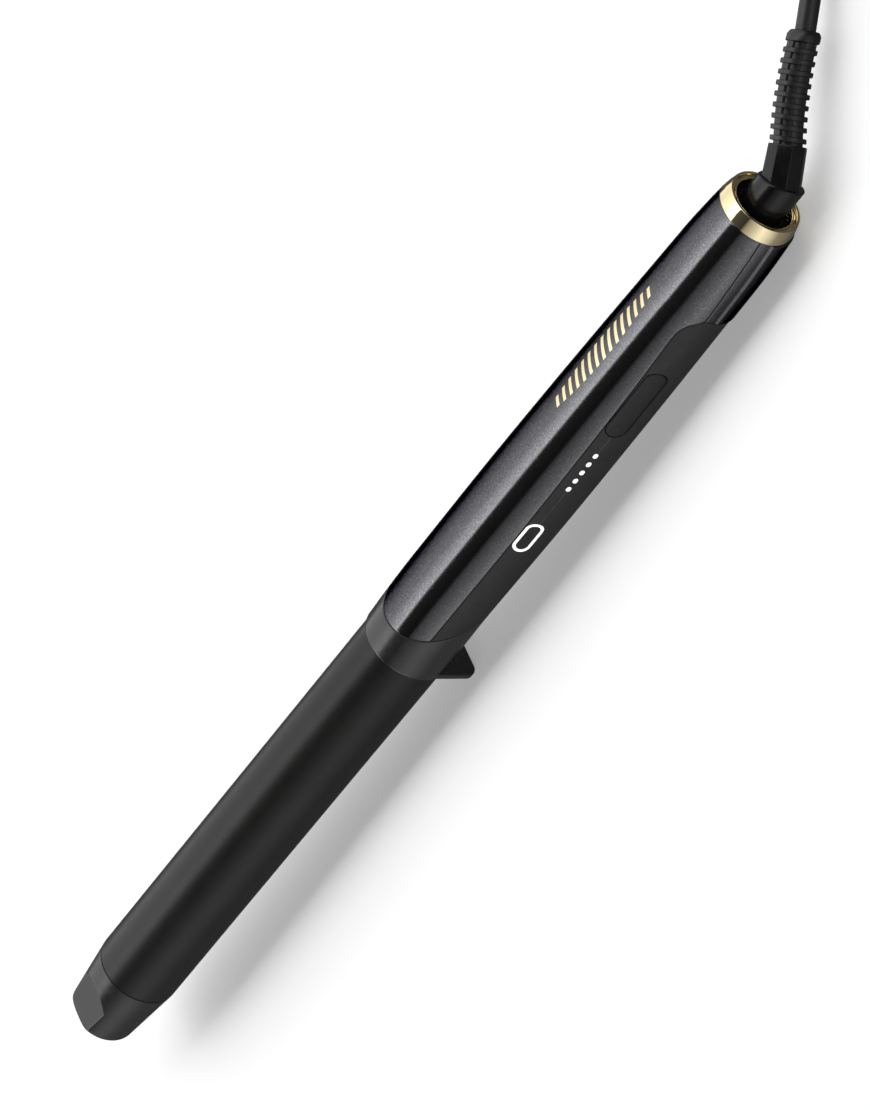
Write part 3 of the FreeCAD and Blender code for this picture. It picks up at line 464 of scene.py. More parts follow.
# ---------------------------------------------------------------- cord, coil, tie and plug

CORD_RADIUS = 3.0
CORD_EXIT = Vector((-247.322, -30.095, 7.563))
CORD_OUTWARD = Vector((-0.7031, -0.7018, -0.1144))
HANK_FOLD = Vector((-327.0, -36.0))
HANK_STRAIGHT = 33.0
HANK_COLUMNS = (18.0, 24.0, 30.0)
HANK_LAYERS = (4.0, 10.0, 16.0, 22.0)
FOLD_ANGLES = [math.radians(15 + 30 * step) for step in range(6)]
RUN_POINTS = [
    CORD_EXIT,
    CORD_EXIT + CORD_OUTWARD * 20,
    Vector((-275.0, -55.5, 3.6)),
    Vector((-292.0, -63.0, 3.3)),
    Vector((-313.0, -66.0, 3.5)),
]
TAIL_POINTS = [
    Vector((-317.0, -6.0, 23.5)),
    Vector((-303.0, -20.0, 26.5)),
    Vector((-303.0, -40.0, 29.5)),
    Vector((-317.0, -54.0, 31.5)),
    Vector((-339.0, -54.0, 31.9)),
]


def hank_points():
    """Control points of the hank's turns: out along -Y's side, round the far fold and back.

    Each turn's near fold moves over to the next column, or up to the next layer.
    """
    turns = []
    for level, height in enumerate(HANK_LAYERS):
        columns = HANK_COLUMNS if level % 2 else HANK_COLUMNS[::-1]
        turns += [(radius, height) for radius in columns]
    swell = 1 / math.cos(math.radians(15))
    found = []
    for (radius, height), following in zip(turns, turns[1:] + [None]):
        middle = HANK_FOLD.x - HANK_STRAIGHT / 2
        found.append(Vector((middle, HANK_FOLD.y - radius, height)))
        for angle in FOLD_ANGLES:
            found.append(Vector((HANK_FOLD.x - HANK_STRAIGHT - radius * swell * math.sin(angle),
                                 HANK_FOLD.y - radius * swell * math.cos(angle), height)))
        found.append(Vector((middle, HANK_FOLD.y + radius, height)))
        if not following:
            break
        for step, angle in enumerate(FOLD_ANGLES):
            part = min(1.0, (step + 0.5) / 5)
            ease = part * part * (3 - 2 * part)
            wide = (radius + (following[0] - radius) * ease) * swell
            found.append(Vector((HANK_FOLD.x + wide * math.sin(angle), HANK_FOLD.y + wide * math.cos(angle),
                                 height + (following[1] - height) * ease)))
    return found


def nurbs_line(points, detail):
    """A smooth line with those control points, as the points along it in metres."""
    curve = bpy.data.curves.new("cord_line", "CURVE")
    curve.dimensions = "3D"
    curve.resolution_u = detail
    spline = curve.splines.new("NURBS")
    spline.points.add(len(points) - 1)
    for spot, point in zip(spline.points, points):
        spot.co = (*(point * MM), 1.0)
    spline.order_u = 3
    spline.use_endpoint_u = True
    line = bpy.data.objects.new("cord_line", curve)
    bpy.context.scene.collection.objects.link(line)
    mesh = bpy.data.meshes.new_from_object(line)
    found = [vertex.co.copy() for vertex in mesh.vertices]
    bpy.data.objects.remove(line)
    return found


def tube(path, radius, sides=20):
    """A round tube along path, which is in the same unit as radius."""
    tangents = [(path[min(index + 1, len(path) - 1)] - path[max(index - 1, 0)]).normalized()
                for index in range(len(path))]
    side = normal_to(tangents[0], Vector((0, 0, 1)))
    loops = []
    for point, tangent in zip(path, tangents):
        side = normal_to(tangent, side)
        other = tangent.cross(side)
        loops.append([tuple(point + (side * math.cos(angle) + other * math.sin(angle)) * radius)
                      for angle in np.linspace(0, FULL_TURN, sides, endpoint=False)])
    return loft(loops)


def build_cord():
    """The whole cord as one tube, and the points along it in metres."""
    path = nurbs_line(RUN_POINTS + hank_points() + TAIL_POINTS, 8)
    in_mm = [point / MM for point in path]
    cord = make("power_cord", tube(in_mm, CORD_RADIUS), "cord_rubber", UPRIGHT)
    smooth(cord)
    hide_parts("cord", "cord_coil", "cord_tail")
    return cord, path


CORNER_POINTS = 10


def rounded_box(half_x, half_y, radius):
    """A rounded rectangle as points, the same number however large it is."""
    radius = min(radius, half_x - 0.01, half_y - 0.01)
    found = []
    for quarter, (sign_x, sign_y) in enumerate(((1, 1), (-1, 1), (-1, -1), (1, -1))):
        for step in range(CORNER_POINTS):
            angle = math.pi / 2 * (quarter + step / (CORNER_POINTS - 1))
            found.append((sign_x * (half_x - radius) + radius * math.cos(angle),
                          sign_y * (half_y - radius) + radius * math.sin(angle)))
    return found


def build_tie():
    """A strap round one side of the hank, with its free end lapped over itself."""
    half_y = (HANK_COLUMNS[-1] - HANK_COLUMNS[0]) / 2 + CORD_RADIUS
    half_z = (HANK_LAYERS[-1] - HANK_LAYERS[0]) / 2 + CORD_RADIUS
    centre_y = HANK_FOLD.y + (HANK_COLUMNS[0] + HANK_COLUMNS[-1]) / 2
    centre_z = (HANK_LAYERS[-1] + HANK_LAYERS[0]) / 2
    middle = HANK_FOLD.x - HANK_STRAIGHT / 2
    loops = []
    for side, grow in ((-6.6, 0.15), (-7.0, 0.35), (-7.0, 0.75), (-6.6, 0.95),
                       (6.6, 0.95), (7.0, 0.75), (7.0, 0.35), (6.6, 0.15)):
        outline = rounded_box(half_y + grow, half_z + grow, 3.2 + grow)
        loops.append([(middle + side, centre_y + across, centre_z + up) for across, up in outline])
    flap = []
    for grow in (0.9, 1.5, 1.55):
        flap.append([(middle + side, centre_y + half_y + grow, centre_z + up)
                     for side, up in rounded_box(6.4, 7.5, 1.5)])
    strap = make("cord_tie_strap", joined(loft(loops, wrap=True), loft(flap)), "tie_fabric", UPRIGHT)
    return settle(strap, "wand", "cord_tie")


PLUG_LENGTH = 30.0
PLUG_NECK = 9.0
PIN_SPACING = 19.0
PIN_RADIUS = 2.0
PIN_LENGTH = 19.0
PIN_SLEEVE = 10.0


def build_plug():
    """A flat two-pin plug: a ribbed neck, a waisted body and two sleeved pins.

    Each station along it is (place, half width, half height, corner radius).
    """
    stations = [(0.0, 3.9, 3.9, 3.8), (-0.6, 4.3, 4.3, 4.2)]
    for rib in range(3):
        near = -1.6 - 2.2 * rib
        wide = 4.4 + 0.35 * rib
        stations += [(near, wide, wide, wide), (near - 0.1, wide + 0.7, wide + 0.5, wide),
                     (near - 1.1, wide + 0.7, wide + 0.5, wide), (near - 1.2, wide, wide, wide)]
    stations += [(-8.4, 5.9, 5.6, 5.4), (-9.2, 8.2, 6.1, 5.8), (-10.6, 12.0, 6.45, 6.2),
                 (-13.0, 15.0, 6.7, 6.5), (-17.0, 16.6, 6.8, 6.6), (-23.0, 16.2, 6.6, 6.4),
                 (-29.0, 16.6, 6.75, 6.6), (-33.5, 17.5, 6.83, 6.7), (-37.6, 17.6, 6.84, 6.7),
                 (-38.6, 17.3, 6.6, 6.4), (-39.0, 16.6, 6.0, 5.8)]
    loops = [[(x, side, up) for side, up in rounded_box(wide, tall, curve)]
             for x, wide, tall, curve in stations]
    grips = []
    for rib in range(5):
        outline = rounded_box(5.2, 0.45, 0.4)
        grips.append(loft([[(-17.5 - 2.6 * rib + up, side, height) for side, up in outline]
                           for height in (6.0, 6.95, 7.05)]))
    frame_here = Matrix.Translation(TAIL_POINTS[-1])
    body = make("plug_moulding", moved(joined(loft(loops), *grips), frame_here), "cord_rubber", UPRIGHT)
    settle(body, "wand", "plug_body")
    end = -PLUG_NECK - PLUG_LENGTH
    sleeve_end = end - PIN_SLEEVE
    sleeve_part = spindle([(end + 0.5, 1.86), (sleeve_end, 1.86, 0.1), (sleeve_end, 1.7)], 32)
    tip_part = spindle([(sleeve_end + 0.1, 1.98), (sleeve_end, PIN_RADIUS, 0.1),
                        (end - 16.8, PIN_RADIUS, 1.2), (end - PIN_LENGTH, 1.1, 0.6),
                        (end - PIN_LENGTH, 0.3)], 32)
    sleeves, tips = [], []
    for side in (-1, 1):
        shift = Matrix.Translation((0, side * PIN_SPACING / 2, 0))
        sleeves.append(moved(sleeve_part, shift))
        tips.append(moved(tip_part, shift))
    pins = make("plug_pin_tips", moved(joined(*tips), frame_here), "steel", UPRIGHT, "brass_contact")
    settle(pins, "wand", "plug_pins")
    sleeve = make("plug_pin_sleeves", moved(joined(*sleeves), frame_here), "cord_rubber", UPRIGHT)
    settle(sleeve, "wand")
    return body, pins, sleeve


power_cord, cord_path = build_cord()
cord_tie = build_tie()
plug_pieces = build_plug()
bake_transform(power_cord)

# ---------------------------------------------------------------- the handle's surface

RADIUS_AT = ((0, 14.5), (15, 14.55), (30, 14.58), (75, 14.79), (110, 14.56), (135, 14.25), (150, 14.0),
             (160, 13.82), (170, 13.64), (186, 13.38), (193, 13.08), (199, 12.72), (204, 12.32))
SEAM_AT = ((12, 8.05), (19, 8.1), (69, 8.4), (110, 8.72), (142, 9.05), (158, 9.4), (161, 9.42), (164.1, 9.2),
           (166.3, 8.6), (167.9, 7.8), (169.0, 6.9), (169.9, 5.9), (170.8, 5.05), (172, 4.8), (186, 5.5),
           (202, 6.0), (206, 6.1))
COLLAR_TOP = 24.0
COLLAR_SLOPE = 0.8
COLLAR_GAP = 0.25
SHELL_WALL = 1.6
GRIP_END = 170.9
SHELL_END = 203.95
SEAM_HALF_GAP = 0.05
SADDLE_STEP = 0.42
PANEL = math.radians(73.7)


def interpolated(table, spot):
    """A smooth reading of a table of (place behind the collar, value)."""
    places = [row[0] for row in table]
    values = [row[1] for row in table]
    index = int(np.clip(np.searchsorted(places, spot) - 1, 0, len(table) - 2))
    slopes = []
    for knot in (index, index + 1):
        low, high = max(knot - 1, 0), min(knot + 1, len(table) - 1)
        slopes.append((values[high] - values[low]) / (places[high] - places[low]))
    span = places[index + 1] - places[index]
    part = min(1.0, max(0.0, (spot - places[index]) / span))
    keep, away = (1 + 2 * part) * (1 - part) ** 2, part * part * (3 - 2 * part)
    first, last = part * (1 - part) ** 2, part * part * (part - 1)
    return keep * values[index] + away * values[index + 1] + span * (first * slopes[0] + last * slopes[1])


def handle_radius(x):
    """The handle's radius, x being negative behind the collar's front edge."""
    return interpolated(RADIUS_AT, -x)


def handle_rise(x):
    """The height of the handle's own axis over the barrel's."""
    return RISE * math.sin(math.pi / 2 * min(1.0, max(0.0, -x / 32)))


def on_handle(x, angle, lift=0.0):
    """A place on the handle's surface, or lifted off it."""
    radius = handle_radius(x) + lift
    return x, radius * math.sin(angle), handle_rise(x) + radius * math.cos(angle)


def on_panel(x, across, lift=0.0):
    """A place by the controls: across runs round the handle, down from their centre line."""
    return on_handle(x, PANEL + across / handle_radius(x), lift)


def seam_angle(x):
    """How far round from the top the upper shell reaches."""
    reach = (interpolated(SEAM_AT, -x) - handle_rise(x)) / handle_radius(x)
    return math.acos(max(-1.0, min(1.0, reach)))


def rounding(distance, size=EDGE):
    """How far a rounded edge drops at a distance inside it."""
    if distance >= size:
        return 0.0
    return size - math.sqrt(max(0.0, size * size - (size - distance) ** 2))


def marks(length, step, size=EDGE):
    """Places along an edge-to-edge line, close together at its ends."""
    ends = [0.0, 0.13 * size, 0.4 * size, 0.7 * size, size, 3 * size]
    inner = list(np.linspace(6 * size, length - 6 * size, max(3, int(length / step))))
    return [spot / length for spot in ends + inner + [length - spot for spot in ends[::-1]]]


def shell(front, back, low, high, step_x, step_round, extra=None):
    """A moulded shell with rounded edges between two lengthwise and two crosswise edges.

    front and back give x from a height z; low and high give the angle from x.
    """
    rows = marks(abs(back(0) - front(0)), step_x)
    middle = (back(0) + front(0)) / 2
    columns = marks((high(middle) - low(middle)) * handle_radius(middle), step_round)
    outer, inner = [], []
    for row in rows:
        outer_row, inner_row = [], []
        for column in columns:
            x = front(0) + (back(0) - front(0)) * row
            for _ in range(6):
                angle = low(x) + (high(x) - low(x)) * column
                z = handle_rise(x) + handle_radius(x) * math.cos(angle)
                x = front(z) + (back(z) - front(z)) * row
            angle = low(x) + (high(x) - low(x)) * column
            radius = handle_radius(x)
            distance_x = min(abs(x - front(z)), abs(back(z) - x))
            distance_round = min(angle - low(x), high(x) - angle) * radius
            drop = max(rounding(distance_x), rounding(distance_round))
            lift = extra(x, angle) if extra else 0.0
            outer_row.append(on_handle(x, angle, lift - drop))
            inner_row.append(on_handle(x, angle, -SHELL_WALL))
        outer.append(outer_row)
        inner.append(inner_row)
    width = len(columns)
    points = [point for grid in (outer, inner) for row in grid for point in row]
    half = len(rows) * width
    faces = []
    for row in range(len(rows) - 1):
        for column in range(width - 1):
            corner = row * width + column
            faces.append((corner, corner + 1, corner + width + 1, corner + width))
            faces.append((half + corner, half + corner + width, half + corner + width + 1, half + corner + 1))
    last = (len(rows) - 1) * width
    for column in range(width - 1):
        faces.append((column + 1, column, half + column, half + column + 1))
        faces.append((last + column, last + column + 1, half + last + column + 1, half + last + column))
    for row in range(len(rows) - 1):
        corner = row * width
        faces.append((corner, corner + width, half + corner + width, half + corner))
        corner += width - 1
        faces.append((corner + width, corner, half + corner, half + corner + width))
    return points, faces


def collar_edge(z):
    """x of the collar's slanted rear edge at a height."""
    return -COLLAR_TOP + COLLAR_SLOPE * z


def grip_front(z):
    """The grip stands a little further from the collar towards its underside."""
    return collar_edge(z) - COLLAR_GAP - 0.45 * max(0.0, min(1.0, (6 - z) / 18))


def saddle_lift(x, angle):
    """The rear shell's lower part stands proud, below a soft crease on each side."""
    height = handle_rise(x) + handle_radius(x) * math.cos(angle)
    crease = 1.25 + 0.03 * (-x - 177)
    part = max(0.0, min(1.0, (crease + 0.35 - height) / 0.7))
    return SADDLE_STEP * part * part * (3 - 2 * part)


def exact_normals(item):
    """Gives the faces that lie on the handle's own surface that surface's exact normals."""
    mesh = item.data
    back = WAND.inverted()
    spin = WAND.to_3x3()
    places = []
    for vertex in mesh.vertices:
        spot = back @ vertex.co / MM
        radius = math.hypot(spot.y, spot.z - handle_rise(spot.x))
        places.append((spot, abs(radius - handle_radius(spot.x)) < 0.01))
    normals = [(0.0, 0.0, 0.0)] * len(mesh.loops)
    for face in mesh.polygons:
        if not all(places[corner][1] for corner in face.vertices):
            continue
        for loop in face.loop_indices:
            spot = places[mesh.loops[loop].vertex_index][0]
            slope = handle_radius(spot.x + 0.5) - handle_radius(spot.x - 0.5)
            round_part = Vector((0, spot.y, spot.z - handle_rise(spot.x))).normalized()
            climb = (handle_rise(spot.x + 0.5) - handle_rise(spot.x - 0.5)) * round_part.z
            normals[loop] = tuple((spin @ Vector((-slope - climb, round_part.y, round_part.z))).normalized())
    mesh.normals_split_custom_set(normals)
    return item


# ---------------------------------------------------------------- barrel, tip, collar and foot

BARREL_RADIUS = 14.0
BARREL_BORE = 12.8
SPIGOT_BORE = 11.6
SPIGOT_END = -18.0
BARREL_START = 0.3
BARREL_END = 176.5
TIP_END = 204.0


def build_barrel():
    """The coated tube, with the narrower spigot that goes into the collar."""
    part = lathe([(SPIGOT_END, SPIGOT_BORE), (2.2, SPIGOT_BORE), (3.4, BARREL_BORE),
                  (BARREL_END, BARREL_BORE, 0.2), (BARREL_END, BARREL_RADIUS, 0.35),
                  (BARREL_START, BARREL_RADIUS, 0.25), (BARREL_START, BARREL_BORE),
                  (SPIGOT_END, BARREL_BORE)], 192)
    settle(make("heated_barrel", part, "barrel_coating"), "wand", "barrel_tube")


FLAT_HEIGHT = 9.5
FLAT_START = 186.0
FLAT_NOSE = 9.0


def eased_min(first, second, blend=0.35):
    """The smaller of two values, with a soft change from one to the other."""
    part = max(0.0, min(1.0, 0.5 + 0.5 * (second - first) / blend))
    return second + (first - second) * part - blend * part * (1 - part)


def build_tip():
    """The cool tip: tapered, rounded at its end, with a flat on top behind a rounded nose."""
    profile = softened([(BARREL_END - 11, 12.4), (BARREL_END + 0.35, 12.4), (BARREL_END + 0.35, 13.95, 0.25),
                        (TIP_END, 11.35, 2.9), (TIP_END + 0.12, 0.6)], False, 12)
    stations = []
    for (x0, r0), (x1, r1) in zip(profile, profile[1:]):
        count = max(1, int(math.hypot(x1 - x0, r1 - r0) / 0.45))
        stations += [(x0 + (x1 - x0) * step / count, r0 + (r1 - r0) * step / count) for step in range(count)]
    stations.append(profile[-1])
    loops = []
    for x, radius in stations:
        loop = []
        for angle in np.linspace(0, FULL_TURN, 256, endpoint=False):
            up = math.cos(angle)
            reach = radius
            if x > BARREL_END + 2 and up > 0.2:
                across = radius * math.sin(angle)
                beyond = math.hypot(min(0.0, x - FLAT_START - FLAT_NOSE), across) - FLAT_NOSE
                slope = -0.02 * (x - FLAT_START)
                ceiling = FLAT_HEIGHT + slope + max(0.0, beyond + 0.2) * 6.0
                reach = eased_min(radius, ceiling / up)
            loop.append((x, reach * math.sin(angle), reach * up))
        loops.append(loop)
    settle(make("cool_tip_cap", loft(loops), "tip_plastic"), "wand", "cool_tip", angle=50)


def collar_row(angles, place, drop=0.0):
    """A loop round the collar: place gives x from the x of the slanted edge."""
    row = []
    for angle in angles:
        x = -COLLAR_TOP / 2
        for _ in range(6):
            z = handle_rise(x) + handle_radius(x) * math.cos(angle)
            x = place(collar_edge(z) + EDGE)
        row.append(on_handle(x, angle, -drop))
    return row


FOOT_HALF = 14.3
FOOT_LOW = -19.9
FOOT_CORNER = 3.7
FOOT_BORE = 13.6
FOOT_THICK = 2.0


def build_foot():
    """The plate below the collar, with two rounded corners, shaped to the barrel's side on top."""
    outline = [(FOOT_HALF - 0.25, -3.0)]
    for side in (1, -1):
        arc = [(side * (FOOT_HALF - FOOT_CORNER + FOOT_CORNER * math.cos(spin)),
                FOOT_LOW + FOOT_CORNER - FOOT_CORNER * math.sin(spin))
               for spin in np.linspace(0, math.pi / 2, 10)]
        outline += arc if side > 0 else arc[::-1]
    start = -math.asin(3.0 / FOOT_BORE)
    outline.append((-FOOT_HALF + 0.25, -3.0))
    outline += [(FOOT_BORE * math.cos(spin), FOOT_BORE * math.sin(spin))
                for spin in np.linspace(math.pi - start, FULL_TURN + start, 40)]
    foot = make("foot", prism([(0.0, y, z) for y, z in outline], [(-FOOT_THICK, y, z) for y, z in outline]),
                "collar_plastic")
    return bevel(foot, 0.3, 3, 40)


def build_collar():
    """The collar's slanted sleeve and the foot plate at its front edge."""
    angles = np.linspace(0, FULL_TURN, 192, endpoint=False)
    loops = []
    for along, lift in ((0.0, -1.5), (0.0, -0.45), (0.02, -0.25), (0.12, -0.08), (BARREL_START, 0.0)):
        loops.append([on_handle(-along, angle, lift) for angle in angles])
    for part in np.linspace(0.05, 1.0, 22):
        loops.append(collar_row(angles, lambda edge: -BARREL_START + (edge + BARREL_START) * part))
    for reach, drop in ((0.13, 0.04), (0.19, 0.12), (EDGE, 0.24), (EDGE, 1.2)):
        loops.append(collar_row(angles, lambda edge: edge - reach, drop))
    collar = make("collar_sleeve", loft(loops, wrap=True), "collar_plastic")
    carve(collar, [build_foot()], "UNION")
    settle(exact_normals(collar), "wand", "collar_with_foot", angle=35)


# ---------------------------------------------------------------- handle shells


def build_upper_shell():
    """The glossy shell over the top, from one seam to the other."""
    part = shell(
        lambda z: collar_edge(z) - COLLAR_GAP,
        lambda z: -SHELL_END,
        lambda x: -seam_angle(x) + SEAM_HALF_GAP / handle_radius(x),
        lambda x: seam_angle(x) - SEAM_HALF_GAP / handle_radius(x),
        1.1, 1.1)
    settle(exact_normals(make("upper_handle_shell", part, "flake_plastic")), "wand", "upper_shell", angle=40)


def pill(length, width, count=48):
    """A pill outline as (along, across), starting at its front tip."""
    half, straight = width / 2, (length - width) / 2
    found = []
    quarter = count // 4
    for index in range(count):
        angle = FULL_TURN * (index / count)
        shift = straight if index <= quarter or index >= count - quarter else -straight
        found.append((half * math.cos(angle) + shift, half * math.sin(angle)))
    return found


def upright(name, outline, x):
    """A cutting tool through the shell below the controls."""
    loops = [[on_panel(x + along, across, lift) for along, across in outline] for lift in (-2.5, 1.5)]
    return make(name, loft(loops), "grip_plastic")


POWER_AT = -71.0
ROCKER_AT = -133.2
ROCKER_SIZE = (28.1, 7.0)
POWER_CAP = (10.9, 4.0)
LIGHT_RING = (12.9, 5.9)
DOTS_AT = (-94.5, -98.4, -102.25, -106.1, -110.0)
DOT_SIZE = (1.95, 1.42)
WINDOW_GAP = 0.26


def build_grip():
    """The matte shell round the underside, with windows for the controls."""
    part = shell(
        grip_front,
        lambda z: -GRIP_END,
        lambda x: seam_angle(x) + SEAM_HALF_GAP / handle_radius(x),
        lambda x: FULL_TURN - seam_angle(x) - SEAM_HALF_GAP / handle_radius(x),
        1.6, 1.3)
    grip = make("grip_sleeve", part, "grip_plastic")
    rocker_window = pill(ROCKER_SIZE[0] + 2 * WINDOW_GAP, ROCKER_SIZE[1] + 2 * WINDOW_GAP)
    tools = [
        upright("power_tool", pill(LIGHT_RING[0] + 0.12, LIGHT_RING[1] + 0.12), POWER_AT),
        upright("rocker_tool", rocker_window, ROCKER_AT),
    ]
    for index, x in enumerate(DOTS_AT):
        outline = [(1.04 * along, 1.06 * across) for along, across in pill(*DOT_SIZE, 24)]
        tools.append(upright("dot_tool_%d" % index, outline, x))
    carve(grip, tools)
    settle(exact_normals(grip), "wand", "grip_shell", angle=40)


REAR_SEAM_FROM = -172.0


def build_rear_shell():
    """The glossy lower shell behind the grip, standing proud below its creases."""
    part = shell(
        lambda z: -GRIP_END - 0.05,
        lambda z: -SHELL_END,
        lambda x: seam_angle(min(x, REAR_SEAM_FROM)) + SEAM_HALF_GAP / handle_radius(x),
        lambda x: FULL_TURN - seam_angle(min(x, REAR_SEAM_FROM)) - SEAM_HALF_GAP / handle_radius(x),
        0.8, 0.45, saddle_lift)
    settle(make("rear_handle_shell", part, "flake_plastic"), "wand", "rear_lower_shell", angle=40)


# ---------------------------------------------------------------- controls


def inset_pill(outline, inset, x, lift):
    """A pill outline pulled in by inset, laid over the handle at a lift."""
    reach = max(across for along, across in outline)
    straight = max(along for along, across in outline) - reach
    scale = (reach - inset) / reach
    loop = []
    for along, across in outline:
        middle = max(-straight, min(straight, along))
        loop.append(on_panel(x + middle + (along - middle) * scale, across * scale, lift))
    return loop


def cap(outline, x, height, size, depth=1.4, dish=0.0):
    """A key cap that follows the handle: rounded at its rim, a little dished if asked."""
    reach = max(across for along, across in outline)
    layers = [(0.0, -depth), (0.0, height - size), (0.08 * size, height - 0.6 * size),
              (0.3 * size, height - 0.29 * size), (0.6 * size, height - 0.08 * size), (size, height)]
    for part in (0.25, 0.5, 0.75, 0.96):
        layers.append((size + (reach - size) * part, height - dish * (1 - (1 - part) ** 2)))
    return loft([inset_pill(outline, inset, x, lift) for inset, lift in layers])


def band(outer, inner, x, height, depth=1.2, size=0.12):
    """A ring-shaped inlay between two like outlines."""
    return loft([inset_pill(outline, inset, x, lift) for outline, inset, lift in (
        (outer, 0, -depth), (outer, 0, height - size), (outer, size, height),
        (inner, -size, height), (inner, 0, height - size), (inner, 0, -depth))], wrap=True)


def bar_on_panel(x0, x1, across0, across1, width, low, high):
    """A thin straight bar over the controls' surface, between two places."""
    along = Vector((x1 - x0, across1 - across0))
    side = Vector((-along.y, along.x)).normalized() * width / 2
    steps = max(2, int(along.length / 0.6))
    loops = []
    for scale, lift in ((1.0, low), (1.0, high - 0.02), (0.8, high)):
        loop = []
        for edge in (1, -1):
            places = np.linspace(0, 1, steps)
            for part in (places if edge > 0 else places[::-1]):
                loop.append(on_panel(x0 + along.x * part + side.x * edge * scale,
                                     across0 + along.y * part + side.y * edge * scale, lift))
        loops.append(loop)
    return loft_strip(loops)


def loft_strip(loops):
    """A skin over loops whose first half faces its second half in reverse order."""
    count = len(loops[0])
    points, faces = loft(loops, fill=False)
    for start, flip in ((0, True), ((len(loops) - 1) * count, False)):
        for step in range(count // 2 - 1):
            face = (start + step, start + step + 1, start + count - step - 2, start + count - step - 1)
            faces.append(face[::-1] if flip else face)
    return points, faces


def circle_mark(x, radius, width, start, stop, low, high):
    """An arc-shaped mark over the controls' surface."""
    spins = np.linspace(start, stop, 30)
    loops = []
    for lift in (low, high):
        loop = []
        for reach, order in ((radius + width / 2, spins), (radius - width / 2, spins[::-1])):
            loop += [on_panel(x + reach * math.cos(spin), reach * math.sin(spin), lift) for spin in order]
        loops.append(loop)
    return loft_strip(loops)


PLUS_AT = -122.9
MINUS_AT = -142.2


def build_controls():
    """The power button in its light ring, the five dots, the rocker, their signs and the thin line."""
    power_part = cap(pill(*POWER_CAP), POWER_AT, 0.02, 0.28, dish=0.12)
    settle(make("power_button_cap", power_part, "button_plastic"), "power_button", "power_button")
    mark = joined(circle_mark(POWER_AT, 0.92, 0.3, 0.6, FULL_TURN - 0.6, -0.2, 0.0),
                  bar_on_panel(POWER_AT + 0.2, POWER_AT + 1.35, 0, 0, 0.3, -0.2, 0.0))
    settle(make("power_symbol", mark, "button_plastic", WAND, "mark_ink"), "power_button")
    light = band(pill(*LIGHT_RING), pill(POWER_CAP[0] + 0.14, POWER_CAP[1] + 0.14), POWER_AT, 0.12)
    settle(make("power_light_ring", light, "light_plastic"), "wand", "button_light_ring")
    dots = [cap(pill(*DOT_SIZE, 24), x, 0.10, 0.14, 1.2) for x in DOTS_AT]
    settle(make("indicator_dots", joined(*dots), "light_plastic"), "wand", "indicator_light_guide")
    rocker_part = cap(pill(*ROCKER_SIZE, 64), ROCKER_AT, 0.10, 0.35, dish=0.18)
    rocker = make("temperature_rocker_cap", rocker_part, "button_plastic")
    settle(rocker, "temperature_rocker", "temperature_rocker")
    signs = joined(bar_on_panel(PLUS_AT - 1.25, PLUS_AT + 1.25, 0, 0, 0.4, -0.3, 0.02),
                   bar_on_panel(PLUS_AT - 0.01, PLUS_AT + 0.01, -1.2, 1.2, 0.4, -0.3, 0.025),
                   bar_on_panel(MINUS_AT - 1.3, MINUS_AT + 1.3, 0, 0, 0.4, -0.3, 0.02))
    settle(make("rocker_signs", signs, "button_plastic", WAND, "mark_ink"), "temperature_rocker")
    lines = joined(bar_on_panel(POWER_AT - 6.6, DOTS_AT[0] + 1.3, 0, 0, 0.34, -0.1, 0.06),
                   bar_on_panel(DOTS_AT[-1] - 1.3, ROCKER_AT + 14.3, 0, 0, 0.34, -0.1, 0.06))
    settle(make("control_line", lines, "grip_plastic", WAND, "pale_line"), "wand")


ORNAMENT_AT = -141.0
ORNAMENT_TURN = math.radians(-7)
ORNAMENT_HALF = 25.0
BAR_COUNT = 15
BAR_SLANT = 0.35
BAR_HALF_WIDTH = 0.72


def build_ornament():
    """A plain gold inlay on the upper shell: a row of slanted bars, taller towards the middle."""
    pieces = []
    for number in range(BAR_COUNT):
        place = 2 * number / (BAR_COUNT - 1) - 1
        tall = 1.5 + 1.7 * (1 - place * place)
        steps = np.linspace(-tall, tall, 9)
        middle = ORNAMENT_AT + ORNAMENT_HALF * place
        loops = []
        for lift in (-0.2, 0.04):
            loop = []
            for side, order in ((BAR_HALF_WIDTH, steps), (-BAR_HALF_WIDTH, steps[::-1])):
                loop += [on_handle(middle + BAR_SLANT * up + side, ORNAMENT_TURN + up / BARREL_RADIUS, lift)
                         for up in order]
            loops.append(loop)
        pieces.append(loft_strip(loops))
    settle(make("gold_ornament", joined(*pieces), "gold_plating"), "wand")


# ---------------------------------------------------------------- end ring, socket, swivel and strain relief


def build_end_ring():
    """The gold ring that closes the handle, with a narrow groove round the socket's mouth."""
    rim = lathe([(-204.05, 12.28, 0.12), (-206.4, 11.95, 2.0), (-208.85, 11.35, 0.28), (-208.85, 10.55, 0.22),
                 (-208.2, 10.3, 0.1), (-207.6, 10.3), (-207.6, 9.75), (-208.3, 9.7, 0.1), (-208.2, 9.2, 0.3),
                 (-206.2, 8.95), (-199.0, 8.95), (-199.0, 10.6), (-204.05, 10.6)], 192, RISE)
    settle(make("gold_end_ring", rim, "gold_plating"), "wand", "end_ring")


FIN_COUNT = 30


